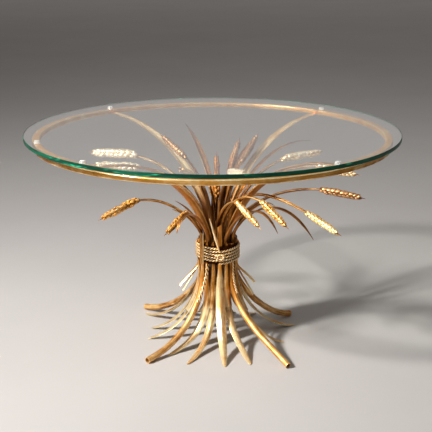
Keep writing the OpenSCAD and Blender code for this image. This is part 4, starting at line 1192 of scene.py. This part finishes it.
# %% [markdown]
# ## Floor
#
# The floor is plain and pale, and so wide that no view sees its edge close to the table. A backdrop that
# curves up would catch light and shadows of its own, so there is none. A faint mottle keeps it from looking
# like paper.

# %% Floor
FLOOR_SIDE, FLOOR_NEAR, FLOOR_FAR = 6, -4, 11

floor_mesh = bpy.data.meshes.new("floor")
floor_mesh.from_pydata([(-FLOOR_SIDE, FLOOR_NEAR, 0), (FLOOR_SIDE, FLOOR_NEAR, 0), (FLOOR_SIDE, FLOOR_FAR, 0),
                        (-FLOOR_SIDE, FLOOR_FAR, 0)], [], [(0, 1, 2, 3)])
floor = bpy.data.objects.new("floor", floor_mesh)
scene.collection.objects.link(floor)
stone = Finish("pale_floor")
mottle = stone.noise(stone.place(), 1.6, 4.0)
stone_colour = stone.blend(mottle, (0.48, 0.458, 0.446), (0.57, 0.547, 0.535))
floor_mesh.materials.append(stone.coated(Base_Color=stone_colour, Roughness=0.75))
print("floor:", 2 * FLOOR_SIDE, "by", FLOOR_FAR - FLOOR_NEAR, "metres")

# %% [markdown]
# ## Light
#
# A bare point lamp gives gilding hard white dots, and an even sky gives it nothing to show. The shadow in
# the photograph says that the main light comes from the front left. So a small key lamp there draws the
# shadow, a broad window lamp beside it softens the glints, a weak fill opens the right side, and one lamp
# from above lights the backs of the ears. The first two have a narrowed spread, which keeps the floor under
# them from burning out in other views. A pale panel far behind is what the glass reflects as a faint veil.
# The world stays dark, because that gives the gold its deep side.

# %% Lamps and world
LAMP_AIM_Z = 0.25
WARM_WHITE = (1.0, 0.98, 0.95)


def lamp(name, azimuth, elevation, distance, size, power, colour=WARM_WHITE, height=None, spread=180):
    """A soft lamp on a sphere round the sheaf, turned towards its middle; square unless it gets a height."""
    data = bpy.data.lights.new(name, "AREA")
    data.shape = "RECTANGLE"
    data.size = size
    data.size_y = height or size
    data.energy = power
    data.color = colour
    data.spread = math.radians(spread)
    made = bpy.data.objects.new(name, data)
    a, e = math.radians(azimuth), math.radians(elevation)
    made.location = (distance * math.cos(a) * math.cos(e), distance * math.sin(a) * math.cos(e),
                     LAMP_AIM_Z + distance * math.sin(e))
    made.rotation_euler = (math.pi / 2 - e, 0.0, a + math.pi / 2)
    scene.collection.objects.link(made)
    print("lamp", name, power, "W")


lamp("key", 214, 38, 3.0, 0.30, 45, spread=100)
lamp("window", 222, 20, 3.2, 2.6, 5.8, (1.0, 0.97, 0.93), spread=100)
lamp("fill", 350, 40, 3.5, 2.2, 4)
lamp("top", 100, 75, 3.0, 2.0, 8)
lamp("panel", 90, 13, 9.6, 7.7, 28, (1.0, 0.945, 0.925), 3.5)

world = bpy.data.worlds.new("studio")
scene.world = world
world.use_nodes = True
background = world.node_tree.nodes["Background"]
background.inputs["Color"].default_value = (1.0, 0.97, 0.94, 1.0)
background.inputs["Strength"].default_value = 0.12
scene.view_settings.view_transform = "Standard"
